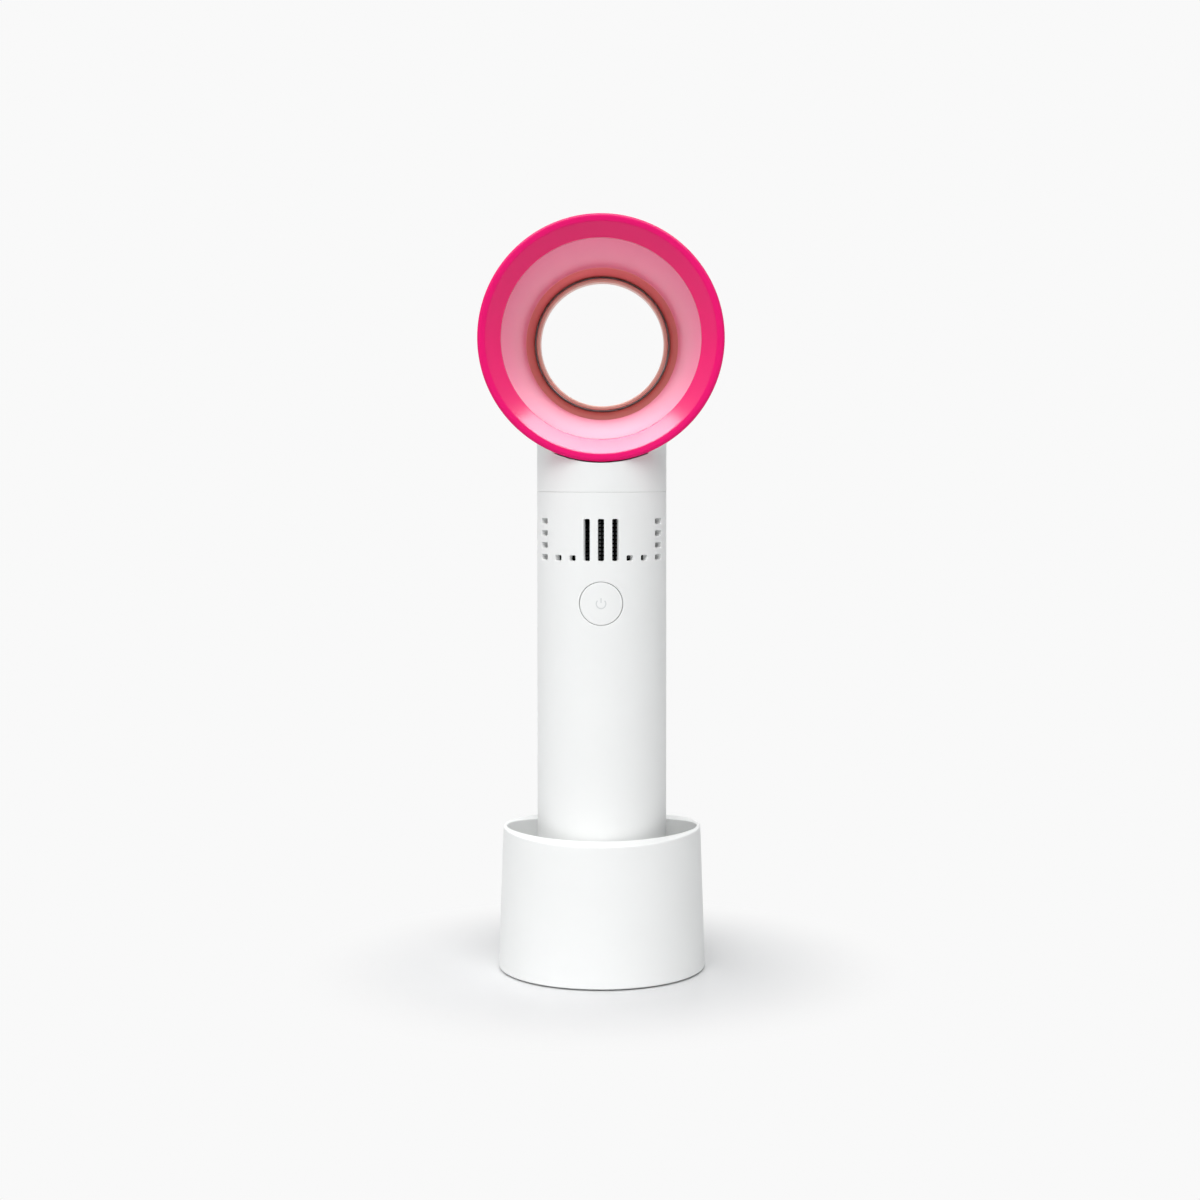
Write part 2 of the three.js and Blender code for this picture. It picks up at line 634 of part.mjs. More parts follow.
// A housing on the dock board with a stepped bore for each contact pin.
function makePinBlock() {
  const bottom = boardTop + GAP;
  const top = dockUnderside - GAP;
  const body = block(
    [-PIN_BLOCK_WIDTH / 2, -PIN_BLOCK_DEPTH / 2, bottom],
    [PIN_BLOCK_WIDTH / 2, PIN_BLOCK_DEPTH / 2, top],
  );
  const wells = contactPlaces.flatMap(([x, y]) => [
    rod(PIN_COLLAR_RADIUS + GAP, bottom - OVERCUT, pinCollarTop + GAP).translate(x, y, 0),
    rod(PIN_RADIUS + GAP, bottom, top + OVERCUT).translate(x, y, 0),
  ]);
  return cut(body, ...wells);
}

function makeContactPin() {
  const bottom = pinCollarTop - PIN_COLLAR_HEIGHT;
  const tip = DOCK_FLOOR_HEIGHT;
  return turned(
    [
      [0, bottom],
      [PIN_COLLAR_RADIUS, bottom],
      [PIN_COLLAR_RADIUS, pinCollarTop],
      [PIN_RADIUS, pinCollarTop],
      ...arc([0, tip - PIN_RADIUS], PIN_RADIUS, 0, PIN_TIP_ANGLE, 2),
      [0, tip],
    ],
    SMALL_FACETS,
  );
}

function makeBase() {
  const feet = footPlaces.map(([x, y], i) =>
    piece(`rubber_foot_${i + 1}`, makeFoot(), RUBBER, [x, y, 0]),
  );
  const screws = bossPlaces.map(([x, y], i) =>
    piece(`base_screw_${i + 1}`, screw(BASE_SCREW_LENGTH), STEEL, [x, y, screwSeatHeight]),
  );
  const pins = contactPlaces.map(([x, y], i) =>
    piece(`contact_pin_${["left", "right"][i]}`, makeContactPin(), GOLD, [x, y, 0]),
  );
  const inletPlace = [0, 0, inletBottom + INLET_HEIGHT / 2];
  return assembly(
    [0, 0, 0],
    piece("base_shell", makeBaseShell(), WHITE),
    piece("base_plate", makeBasePlate(), WHITE),
    piece("dock_board", makeDockBoard(), BOARD_GREEN),
    piece("charge_inlet", makeInlet(), STEEL, inletPlace),
    piece("contact_pin_block", makePinBlock(), BLACK),
    ...feet,
    ...screws,
    ...pins,
  );
}

// --------------------------------------------------------- handle and its foot

// Vents run front to back, so each column sits at one distance from the middle.
function ventCutter(x, bottom, height) {
  const innerEdge = Math.max(0, Math.abs(x) - VENT_SLOT_WIDTH / 2);
  const boreDepth = Math.sqrt(Math.max(0, handleBore ** 2 - innerEdge ** 2));
  const end = Math.max(GAP, boreDepth - HANDLE_WALL);
  const cutter = prismAlongY(stadium(VENT_SLOT_WIDTH, height), -HANDLE_RADIUS - OVERCUT, -end);
  return cutter.translate(x, 0, bottom + height / 2);
}

// Three slots in the middle, one low hole in each column beside them, and a
// stack of holes in the outermost column that still meets the handle's bore.
function ventCutters() {
  const outermost = Math.floor((handleBore + VENT_SLOT_WIDTH / 2) / VENT_COLUMN_PITCH);
  const rows = Math.floor((VENT_SLOT_HEIGHT - VENT_HOLE_HEIGHT) / VENT_ROW_PITCH) + 1;
  const cutters = [];
  for (let column = -outermost; column <= outermost; column++) {
    const x = column * VENT_COLUMN_PITCH;
    if (Math.abs(column) <= VENT_SLOT_COLUMNS) {
      cutters.push(ventCutter(x, VENT_BOTTOM_HEIGHT, VENT_SLOT_HEIGHT));
      continue;
    }
    const holes = Math.abs(column) === outermost ? rows : 1;
    for (let row = 0; row < holes; row++) {
      cutters.push(ventCutter(x, VENT_BOTTOM_HEIGHT + row * VENT_ROW_PITCH, VENT_HOLE_HEIGHT));
    }
  }
  return cutters;
}

function makeHandleTube() {
  const tube = sleeve(HANDLE_RADIUS, handleBore, tubeBottom, SEAM_HEIGHT);
  const front = ventCutters();
  const back = ventCutters().map((cutter) => cutter.rotateZ(Math.PI));
  const holeRadius = BUTTON_RADIUS + BUTTON_CLEARANCE;
  const buttonHole = rodAlongY(holeRadius, -HANDLE_RADIUS - OVERCUT, 0, MEDIUM_FACETS);
  return cut(tube, ...front, ...back, buttonHole.translate(0, 0, BUTTON_HEIGHT));
}

function makeBottomCap() {
  const edge = CAP_EDGE_RADIUS;
  const round = arc([HANDLE_RADIUS - edge, edge], edge, -90, 0);
  const thickness = CAP_FLANGE_THICKNESS;
  const flange = turned([[0, 0], ...round, [HANDLE_RADIUS, thickness], [0, thickness]]);
  const top = thickness + CAP_SPIGOT_HEIGHT;
  const spigot = sleeve(insertRadius, insertRadius - CAP_SPIGOT_WALL, thickness / 2, top);
  const bosses = capScrewPlaces.map(([x, y]) =>
    rod(CAP_BOSS_RADIUS, thickness / 2, top).translate(x, y, 0),
  );
  const holes = capScrewPlaces.map(([x, y]) =>
    screwSpace(CAP_SCREW_LENGTH, OVERCUT).translate([x, y, capScrewSeat]),
  );
  const seats = contactPlaces.flatMap(([x, y]) => [
    rod(PAD_RADIUS + GAP, -OVERCUT, PAD_THICKNESS + GAP).translate(x, y, 0),
    rod(PAD_STUD_RADIUS + GAP, 0, top, SCREW_FACETS).translate(x, y, 0),
  ]);
  return cut(join(flange, spigot, ...bosses), ...holes, ...seats);
}

function makeChargePad() {
  return turned(
    [
      [0, 0],
      [PAD_RADIUS, 0],
      [PAD_RADIUS, PAD_THICKNESS],
      [PAD_STUD_RADIUS, PAD_THICKNESS],
      [PAD_STUD_RADIUS, PAD_STUD_LENGTH],
      [0, PAD_STUD_LENGTH],
    ],
    SMALL_FACETS,
  );
}

// A ring of small windows, seen as a dark band behind the vents.
function makeIntakeScreen() {
  const bottom = VENT_BOTTOM_HEIGHT - SCREEN_MARGIN;
  const top = mountBottom - GAP;
  const ring = sleeve(insertRadius, insertRadius - SCREEN_THICKNESS, bottom, top);
  const pitch = (top - bottom) / SCREEN_ROWS;
  const windows = [];
  for (let row = 0; row < SCREEN_ROWS; row++) {
    const middle = bottom + pitch * (row + 0.5);
    for (let i = 0; i < SCREEN_COLUMNS / 2; i++) {
      const bar = block(
        [-SCREEN_HOLE_WIDTH / 2, -HANDLE_RADIUS, middle - SCREEN_HOLE_HEIGHT / 2],
        [SCREEN_HOLE_WIDTH / 2, HANDLE_RADIUS, middle + SCREEN_HOLE_HEIGHT / 2],
      );
      windows.push(bar.rotateZ((2 * Math.PI * (i + 0.5)) / SCREEN_COLUMNS));
    }
  }
  return cut(ring, ...windows);
}

// ------------------------------------------------------------- power button

// The button's face continues the handle's round surface. A flange behind the
// wall keeps it in, and its stem meets the switch plunger.
function makePowerButton() {
  const column = rodAlongY(BUTTON_RADIUS, -HANDLE_RADIUS - OVERCUT, flangeBack, MEDIUM_FACETS);
  const skin = rod(HANDLE_RADIUS, -BUTTON_RADIUS - OVERCUT, BUTTON_RADIUS + OVERCUT, LARGE_FACETS);
  const flange = rodAlongY(flangeRadius, flangeFront, flangeBack, MEDIUM_FACETS);
  const stem = rodAlongY(BUTTON_STEM_RADIUS, flangeBack - GAP, plungerTip - GAP);
  return join(common(column, skin), flange, stem);
}

function makeSwitchBody() {
  const half = SWITCH_SIZE / 2;
  const body = block([-half, switchFace, -half], [half, switchBack, half]);
  const wellFloor = plungerTip + SWITCH_PLUNGER_LENGTH + BUTTON_TRAVEL + GAP;
  return cut(body, rodAlongY(SWITCH_PLUNGER_RADIUS + GAP, switchFace - OVERCUT, wellFloor));
}

const makeSwitchPlunger = () =>
  rodAlongY(SWITCH_PLUNGER_RADIUS, plungerTip, plungerTip + SWITCH_PLUNGER_LENGTH);

// ------------------------------------------------ battery, carrier and board

// A trough that holds the cell at the back of the handle and the board in
// front. Above the cell only its two side rails go on, to carry the board.
function makeCarrier() {
  const body = rod(insertRadius, carrierBottom, carrierTop, LARGE_FACETS);
  const floorTop = carrierBottom + CARRIER_END_WALL;
  const railFace = boardBack + GAP;
  const frontCut = block(
    [-HANDLE_RADIUS, -HANDLE_RADIUS, carrierBottom - OVERCUT],
    [HANDLE_RADIUS, railFace, carrierTop + OVERCUT],
  );
  const cellSpace = rod(cellPocket, floorTop, cellSpaceTop, MEDIUM_FACETS);
  const mouth = block(
    [-cellPocket, -HANDLE_RADIUS, floorTop],
    [cellPocket, BATTERY_OFFSET, cellSpaceTop],
  );
  const upperSpace = block(
    [-cellPocket, -HANDLE_RADIUS, bridgeTop],
    [cellPocket, HANDLE_RADIUS, carrierTop + OVERCUT],
  );
  const capHoles = capScrewPlaces.map(([x, y]) =>
    screwSpace(CAP_SCREW_LENGTH, OVERCUT).translate([x, y, capScrewSeat]),
  );
  const boardHoles = boardScrewPlaces.map(([x, z]) => boardScrewSpace().translate([x, 0, z]));
  cellSpace.translate(0, BATTERY_OFFSET, 0);
  return cut(body, frontCut, cellSpace, mouth, upperSpace, ...capHoles, ...boardHoles);
}

function makeBatteryCell() {
  const edge = BATTERY_EDGE;
  const shoulder = cellTop - BATTERY_TERMINAL_HEIGHT;
  return turned(
    [
      [0, cellBottom],
      [BATTERY_RADIUS - edge, cellBottom],
      [BATTERY_RADIUS, cellBottom + edge],
      [BATTERY_RADIUS, shoulder - edge],
      [BATTERY_RADIUS - edge, shoulder],
      [BATTERY_TERMINAL_RADIUS, shoulder],
      [BATTERY_TERMINAL_RADIUS, cellTop],
      [0, cellTop],
    ],
    MEDIUM_FACETS,
  );
}

// A strip folded back over itself, so that it presses on the cell's lower end.
function makeSpringContact() {
  const thickness = CONTACT_THICKNESS;
  const rise = CONTACT_SPRING_HEIGHT;
  const half = CONTACT_SPRING_LENGTH / 2;
  const shape = new THREE.Shape([
    new THREE.Vector2(half, 0),
    new THREE.Vector2(half, thickness),
    new THREE.Vector2(-half + thickness, thickness),
    new THREE.Vector2(half / 2, rise - thickness),
    new THREE.Vector2(half / 2, rise),
    new THREE.Vector2(0, rise),
    new THREE.Vector2(-half, thickness),
    new THREE.Vector2(-half, 0),
  ]);
  const strip = prismAlongY(shape, -CONTACT_STRIP_WIDTH / 2, CONTACT_STRIP_WIDTH / 2);
  return strip.translate(0, BATTERY_OFFSET, carrierBottom + CARRIER_END_WALL + GAP);
}

function makeTopContact() {
  const half = CONTACT_STRIP_WIDTH / 2;
  const top = topContact + CONTACT_THICKNESS;
  const reach = boardBack + GAP;
  const strip = block([-half, reach, topContact], [half, BATTERY_OFFSET + half, top]);
  const dropped = block(
    [-half, reach, topContact - CONTACT_STRIP_WIDTH],
    [half, reach + CONTACT_THICKNESS, top],
  );
  return join(strip, dropped);
}

// Board screws point backwards. Their heads sit on the board's front face.
const boardScrew = () => turnedBack(solidOf(screw(BOARD_SCREW_LENGTH)));
const boardScrewSpace = () => turnedBack(screwSpace(BOARD_SCREW_LENGTH, OVERCUT));
const turnedBack = (solid) => solid.rotate([-90, 0, 0]).translate([0, boardFace - GAP, 0]);

const boardHole = () =>
  rodAlongY(shankHole, boardFace - OVERCUT, boardBack + OVERCUT, SCREW_FACETS);

function makeControlBoard() {
  const half = BOARD_WIDTH / 2;
  const board = block([-half, boardFace, boardLower], [half, boardBack, carrierTop]);
  const chips = CHIP_PLACES.map((place) => {
    const z = boardLower + place;
    const reach = CHIP_SIZE / 2;
    return block([-reach, boardFace - CHIP_HEIGHT, z - reach], [reach, boardFace + GAP, z + reach]);
  });
  const coil = rodAlongY(COIL_RADIUS, boardFace - COIL_HEIGHT, boardFace + GAP);
  coil.translate(CHIP_SIZE + COIL_RADIUS, 0, boardLower + COIL_PLACE);
  const holes = boardScrewPlaces.map(([x, z]) => boardHole().translate(x, 0, z));
  return cut(join(board, ...chips, coil), ...holes);
}

// A lead hangs in a loop from the motor's end cap to the back of the board.
function makeMotorLead(side) {
  const x = (side * LEAD_SPACING) / 2;
  const joint = boardBack + GAP;
  const top = endCapBottom - GAP;
  const foot = bridgeTop + LEAD_CLEARANCE;
  const straight = LEAD_BEND_SHARE * (top - foot);
  const route = new THREE.CatmullRomCurve3([
    new THREE.Vector3(x, BATTERY_OFFSET, top),
    new THREE.Vector3(x, BATTERY_OFFSET, top - straight),
    new THREE.Vector3(x, BATTERY_OFFSET - LEAD_BEND, foot + straight),
    new THREE.Vector3(x, joint + LEAD_BEND, foot),
    new THREE.Vector3(x, joint, foot),
  ]);
  const section = new THREE.Shape().absarc(0, 0, LEAD_RADIUS, 0, 2 * Math.PI);
  return new THREE.ExtrudeGeometry(section, { steps: 10, extrudePath: route, curveSegments: 3 });
}

// -------------------------------------------------------- motor and impeller

// Motor screws point down, with their heads sunk in the mount.
const downward = (solid) => solid.rotate([180, 0, 0]);

function motorScrewSpaces() {
  return motorScrewPlaces.map(([x, y]) =>
    downward(screwSpace(MOTOR_SCREW_LENGTH, OVERCUT)).translate([x, y, mountScrewSeat]),
  );
}

function makeMotorCan() {
  const can = turned(
    [
      [0, motorBottom],
      [MOTOR_RADIUS, motorBottom],
      [MOTOR_RADIUS, motorTop - MOTOR_EDGE],
      [MOTOR_RADIUS - MOTOR_EDGE, motorTop],
      [MOTOR_BOSS_RADIUS, motorTop],
      [MOTOR_BOSS_RADIUS, motorTop + MOTOR_BOSS_HEIGHT],
      [0, motorTop + MOTOR_BOSS_HEIGHT],
    ],
    MEDIUM_FACETS,
  );
  const bore = rod(SHAFT_RADIUS + GAP, motorBottom - OVERCUT, mountTop + OVERCUT);
  return cut(can, bore, ...motorScrewSpaces());
}

function makeMotorEndCap() {
  const cap = rod(MOTOR_RADIUS - GAP, endCapBottom, motorBottom - GAP, MEDIUM_FACETS);
  return cut(cap, rod(SHAFT_RADIUS + GAP, endCapBottom - OVERCUT, motorBottom));
}

// A round plate for the motor, held in the handle by a ring on short arms.
function makeMotorMount() {
  const plate = rod(insertRadius, mountBottom, mountTop, LARGE_FACETS);
  const boss = rod(MOTOR_BOSS_RADIUS + GAP, mountBottom - OVERCUT, mountTop + OVERCUT);
  const sweep = 2 * Math.PI / MOUNT_ARM_COUNT - THREE.MathUtils.degToRad(MOUNT_ARM_ANGLE);
  const windows = Array.from({ length: MOUNT_ARM_COUNT }, (_, i) => {
    const start = (2 * Math.PI * i) / MOUNT_ARM_COUNT;
    const shape = new THREE.Shape();
    shape.absarc(0, 0, insertRadius - MOUNT_RING_WIDTH, start, start + sweep);
    shape.absarc(0, 0, MOTOR_RADIUS, start + sweep, start, true);
    return new THREE.ExtrudeGeometry(shape, {
      depth: MOUNT_THICKNESS + 2 * OVERCUT,
      bevelEnabled: false,
      curveSegments: 4,
    }).translate(0, 0, mountBottom - OVERCUT);
  });
  return cut(plate, boss, ...windows, ...motorScrewSpaces());
}

const makeMotorShaft = () =>
  rod(SHAFT_RADIUS, endCapBottom + GAP, impellerBottom + IMPELLER_HEIGHT - HUB_ROOF - GAP);

// A twisted blade from a hub out to a radius. Its chord climbs from the bottom
// to the top while it wraps round the axis, less at the tip than at the hub.
function blade({ hub, tip, bottom, height, hubWrap, tipWrap, thickness, stations, steps }) {
  const edge = Math.asin(BLADE_EDGE_SHARE);
  const surface = (side, i, j) => {
    const climb = j / steps;
    const share = i / stations;
    const inner = hub(climb);
    const radius = inner + (tip - inner) * share;
    const wrap = THREE.MathUtils.degToRad(hubWrap + (tipWrap - hubWrap) * share);
    const camber = climb * (1 + BLADE_CAMBER * (1 - climb));
    const half = (thickness / 2) * Math.sin(edge + (Math.PI - 2 * edge) * climb);
    const angle = wrap * camber + (side === 0 ? -half : half) / radius;
    const z = bottom + height * climb;
    return new THREE.Vector3(radius * Math.cos(angle), radius * Math.sin(angle), z);
  };
  return slab(surface, stations, steps);
}

const bladesRound = (count, settings) =>
  Array.from({ length: count }, (_, i) => blade(settings).rotateZ((2 * Math.PI * i) / count));

function makeImpeller() {
  const top = impellerBottom + IMPELLER_HEIGHT;
  const hub = turned(
    [
      [0, impellerBottom],
      [HUB_INLET_RADIUS, impellerBottom],
      [HUB_OUTLET_RADIUS, top - HUB_RIM_HEIGHT],
      [HUB_OUTLET_RADIUS, top],
      [0, top],
    ],
    MEDIUM_FACETS,
  );
  const hubRadius = (climb) =>
    HUB_INLET_RADIUS - BLADE_ROOT + (HUB_OUTLET_RADIUS - HUB_INLET_RADIUS) * climb;
  const blades = bladesRound(BLADE_COUNT, {
    hub: hubRadius,
    tip: bladeTip,
    bottom: impellerBottom + GAP,
    height: IMPELLER_HEIGHT - 2 * GAP,
    hubWrap: BLADE_WRAP,
    tipWrap: BLADE_TIP_WRAP,
    thickness: BLADE_THICKNESS,
    stations: BLADE_STATIONS,
    steps: BLADE_STEPS,
  });
  const bore = rod(SHAFT_RADIUS + GAP, impellerBottom - OVERCUT, top - HUB_ROOF);
  return cut(join(hub, ...blades), bore);
}

// The duct's guide vanes turn the swirling air straight up into the head. Its
// front edge is scooped out under the roof that the neck has below the rim.
function makeImpellerDuct() {
  const ring = sleeve(insertRadius, ductBore, ductBottom, vaneTop);
  const bottom = vaneTop - VANE_HEIGHT;
  const hub = turned(
    [
      [0, bottom],
      [VANE_HUB_RADIUS, bottom],
      [VANE_HUB_RADIUS, vaneTop],
      [VANE_HUB_RADIUS / 2, vaneTop + VANE_HUB_SHOULDER],
      [0, vaneTop + VANE_HUB_NOSE],
    ],
    MEDIUM_FACETS,
  );
  const vanes = bladesRound(VANE_COUNT, {
    hub: () => VANE_HUB_RADIUS - BLADE_ROOT,
    tip: ductBore + DUCT_WALL / 2,
    bottom: bottom + GAP,
    height: VANE_HEIGHT - 2 * GAP,
    hubWrap: -VANE_WRAP,
    tipWrap: -VANE_WRAP,
    thickness: VANE_THICKNESS,
    stations: VANE_STATIONS,
    steps: VANE_STEPS,
  });
  return cut(join(ring, hub, ...vanes), spaceUnderRim(HEAD_WALL + 2 * GAP));
}

// ------------------------------------------------------------------ the head

const up = (geometry) => geometry.translate(0, 0, HEAD_HEIGHT);

// The room that the front rim takes above the front of the neck, and a margin.
function spaceUnderRim(margin) {
  const back = rimSeam + margin;
  return up(rodAlongY(HEAD_RADIUS + margin, headFront - OVERCUT, back, LARGE_FACETS));
}

function drum(radius, back, round, front) {
  const corner = arc([radius - round, back - round], round, 0, 90);
  return turnedAboutY([[0, front], [radius, front], ...corner, [0, back]]);
}

// The ring's outer casing and back wall in one piece with the neck. The neck's
// bore opens into the hollow ring.
function makeHeadShell() {
  const neckTop = HEAD_HEIGHT - throatHole;
  const neck = rod(HANDLE_RADIUS, SEAM_HEIGHT + GAP, neckTop, LARGE_FACETS);
  const bore = rod(handleBore, SEAM_HEIGHT - OVERCUT, neckTop - OVERCUT, LARGE_FACETS);
  const neckBore = cut(bore, spaceUnderRim(GAP + HEAD_WALL));
  const casing = up(drum(HEAD_RADIUS, headBack, HEAD_BACK_ROUND, shellFront));
  const hollow = up(drum(shellBore, backWallFront, HEAD_BACK_ROUND - HEAD_WALL, headFront - OVERCUT));
  const hole = up(rodAlongY(throatHole, headFront, headBack + OVERCUT, LARGE_FACETS));
  return cut(join(casing, cut(neck, spaceUnderRim(GAP))), hollow, hole, neckBore);
}

// A bright flat lip with a flank that slopes in to the funnel.
function makeFrontRim() {
  const edge = RIM_EDGE_RADIUS;
  const corner = arc([HEAD_RADIUS - edge, headFront + edge], edge, 0, -90);
  const lipInner = HEAD_RADIUS - RIM_LIP_WIDTH;
  return turnedAboutY(
    closed([
      [HEAD_RADIUS, rimSeam],
      ...corner,
      [lipInner, headFront + RIM_LIP_SET_BACK],
      [FUNNEL_FRONT_RADIUS, headFront + RIM_FLANK_DEPTH],
      [FUNNEL_FRONT_RADIUS, rimSeam],
      [FUNNEL_FRONT_RADIUS + RIM_WALL, rimSeam],
      [shellBore, headFront + RIM_FACE_THICKNESS],
      [shellBore, rimSeam],
    ]),
  );
}

// The bell curve of the funnel's inner face, front to back.
function funnelCurve() {
  const curve = new THREE.QuadraticBezierCurve(
    new THREE.Vector2(FUNNEL_FRONT_RADIUS, shellFront),
    new THREE.Vector2(FUNNEL_WAIST_RADIUS, shellFront + FUNNEL_WAIST_SHARE * FUNNEL_LENGTH),
    new THREE.Vector2(FUNNEL_BACK_RADIUS, funnelBack),
  );
  return curve.getPoints(FUNNEL_STEPS).map((point) => [point.x, point.y]);
}

function makeAirFunnel() {
  const flangeBack = shellFront + FUNNEL_FLANGE_THICKNESS;
  const inner = funnelCurve();
  const outer = inner.slice(1).reverse().map(([radius, depth]) => [radius + FUNNEL_WALL, depth]);
  const flangeRadius = shellBore - GAP;
  return turnedAboutY(
    closed([
      ...inner,
      ...outer,
      [FUNNEL_FRONT_RADIUS + FUNNEL_WALL, flangeBack],
      [flangeRadius, flangeBack],
      [flangeRadius, shellFront],
    ]),
  );
}

// The band that narrows from the funnel to the air slit.
function makeNozzleRing() {
  const front = funnelBack + GAP;
  const exit = front + NOZZLE_BAND_DEPTH;
  const outer = FUNNEL_BACK_RADIUS + FUNNEL_WALL;
  return turnedAboutY(
    closed([
      [FUNNEL_BACK_RADIUS, front],
      [slitOuter, exit],
      [slitOuter, exit + NOZZLE_LAND],
      [slitOuter + FUNNEL_WALL, exit + NOZZLE_LAND],
      [outer, front + NOZZLE_BAND_DEPTH / 2],
      [outer, front],
    ]),
  );
}

// The inner wall of the air slit, which is also the edge of the open hole.
function makeThroatRing() {
  const front = headBack - THROAT_LENGTH;
  const edge = THROAT_EDGE_RADIUS;
  const lip = arc([throatOuter - edge, front + edge], edge, 0, -150);
  return turnedAboutY(
    closed([
      [throatOuter, headBack],
      ...lip,
      [THROAT_RADIUS + THROAT_FLARE, front + THROAT_LENGTH / 3],
      [THROAT_RADIUS, front + THROAT_LENGTH / 2],
      [THROAT_RADIUS, headBack - edge],
      [THROAT_RADIUS + edge, headBack],
    ]),
  );
}

// ------------------------------------------------------------------- the fan

function makeHead() {
  return assembly(
    [0, 0, HEAD_HEIGHT],
    piece("front_rim", makeFrontRim(), MAGENTA),
    piece("air_funnel", makeAirFunnel(), PALE_PINK),
    piece("nozzle_ring", makeNozzleRing(), COPPER),
    piece("throat_ring", makeThroatRing(), TAN_COPPER),
  );
}

function makeButtonGroup() {
  return assembly(
    [0, 0, BUTTON_HEIGHT],
    piece("power_button", makePowerButton(), WHITE),
    piece("switch_plunger", makeSwitchPlunger(), BLACK),
    piece("switch_body", makeSwitchBody(), STEEL),
  );
}

function makeDriveGroup() {
  const motorScrew = solidOf(screw(MOTOR_SCREW_LENGTH));
  const motorScrews = motorScrewPlaces.map(([x, y], i) =>
    piece(`motor_screw_${i + 1}`, downward(motorScrew), STEEL, [x, y, mountScrewSeat]),
  );
  return assembly(
    [0, 0, 0],
    piece("motor_can", makeMotorCan(), STEEL),
    piece("motor_end_cap", makeMotorEndCap(), BLACK),
    piece("motor_shaft", makeMotorShaft(), STEEL),
    piece("motor_mount", makeMotorMount(), GREY),
    piece("impeller", makeImpeller(), GREY),
    piece("impeller_duct", makeImpellerDuct(), WHITE),
    ...motorScrews,
  );
}

function makePowerGroup() {
  const boardScrews = boardScrewPlaces.map(([x, z], i) =>
    piece(`board_screw_${i + 1}`, boardScrew(), STEEL, [x, 0, z]),
  );
  return assembly(
    [0, 0, 0],
    piece("battery_carrier", makeCarrier(), GREY),
    piece("battery_cell", makeBatteryCell(), CELL_WRAP, [0, BATTERY_OFFSET, 0]),
    piece("battery_spring_contact", makeSpringContact(), STEEL),
    piece("battery_top_contact", makeTopContact(), STEEL),
    piece("control_board", makeControlBoard(), BOARD_GREEN),
    piece("motor_lead_left", makeMotorLead(-1), LEAD_RED),
    piece("motor_lead_right", makeMotorLead(1), LEAD_BLACK),
    ...boardScrews,
  );
}

function makeHandleGroup() {
  const pads = contactPlaces.map(([x, y], i) =>
    piece(`charge_pad_${["left", "right"][i]}`, makeChargePad(), GOLD, [x, y, 0]),
  );
  const capScrews = capScrewPlaces.map(([x, y], i) =>
    piece(`cap_screw_${i + 1}`, screw(CAP_SCREW_LENGTH), STEEL, [x, y, capScrewSeat]),
  );
  return assembly(
    [0, 0, 0],
    piece("handle_tube", makeHandleTube(), WHITE),
    piece("bottom_cap", makeBottomCap(), WHITE),
    piece("intake_screen", makeIntakeScreen(), BLACK),
    ...pads,
    ...capScrews,
  );
}

function makeFan() {
  const standing = [0, 0, DOCK_FLOOR_HEIGHT + GAP];
  return assembly(
    standing,
    piece("head_shell", makeHeadShell(), WHITE),
    makeHead(),
    makeHandleGroup(),
    makeButtonGroup(),
    makePowerGroup(),
    makeDriveGroup(),
  );
}

const fanInBase = new THREE.Group();
fanInBase.name = "bladeless_fan_in_base";
fanInBase.add(makeBase(), makeFan());

export default fanInBase;
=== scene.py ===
"""A bladeless hand fan that stands in its charging base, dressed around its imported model.

Everything is in metres, +Z up, and the front looks along -Y. Angles named "turn" start at the
front and grow towards +X. The ring of the head turns about an axis that runs front to back.
"""

import math

import bpy
import numpy as np
from bpy.props import FloatProperty, FloatVectorProperty, PointerProperty
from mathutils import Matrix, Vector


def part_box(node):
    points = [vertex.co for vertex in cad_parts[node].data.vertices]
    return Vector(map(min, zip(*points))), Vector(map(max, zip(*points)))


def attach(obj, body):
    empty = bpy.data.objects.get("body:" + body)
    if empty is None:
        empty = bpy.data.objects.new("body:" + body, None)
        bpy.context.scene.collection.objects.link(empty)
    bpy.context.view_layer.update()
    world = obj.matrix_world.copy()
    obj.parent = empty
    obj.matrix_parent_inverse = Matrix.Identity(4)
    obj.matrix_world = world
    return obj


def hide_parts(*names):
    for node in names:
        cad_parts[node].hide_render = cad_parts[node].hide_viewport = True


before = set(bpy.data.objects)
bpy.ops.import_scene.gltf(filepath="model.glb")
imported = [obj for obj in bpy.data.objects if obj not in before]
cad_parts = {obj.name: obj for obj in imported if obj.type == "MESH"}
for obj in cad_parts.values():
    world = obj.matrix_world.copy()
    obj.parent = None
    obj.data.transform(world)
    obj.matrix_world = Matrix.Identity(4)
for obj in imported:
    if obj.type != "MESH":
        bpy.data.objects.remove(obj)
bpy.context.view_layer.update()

bl_info = {
    "name": "Bladeless Hand Fan",
    "version": (1, 0, 0),
    "blender": (4, 5, 0),
    "location": "View3D > Sidebar > Hand Fan",
    "description": "Finishes a bladeless hand fan and its charging base",
    "category": "Add Mesh",
}

MM = 0.001
FULL_TURN = 2 * math.pi
SHARP = math.radians(38)  # an edge that turns by more than this stays sharp
ARC_STEPS = 6  # faces round a quarter of an edge
ARC_POINTS = ARC_STEPS + 3  # points of a rounded corner, with the ends of what is held flat
HOLD = 0.35  # a flat side is held flat this share of an edge's radius before the edge begins
CRISP = 0.1 * MM  # radius of an edge that hardly shows
BODY_COLUMNS = 240  # columns of points round the base and the neck
CASING_COLUMNS = 288  # round the head's casing and its rim
RING_COLUMNS = 256  # round the rings inside the head
FINISH_ENDING = "_finish"  # keeps a finish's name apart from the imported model's own material


# ------------------------------------------------------------------ places in the frame


def low(node):
    """The lowest corner of a node at rest."""
    return np.array(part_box(node)[0])


def high(node):
    """The highest corner of a node at rest."""
    return np.array(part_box(node)[1])


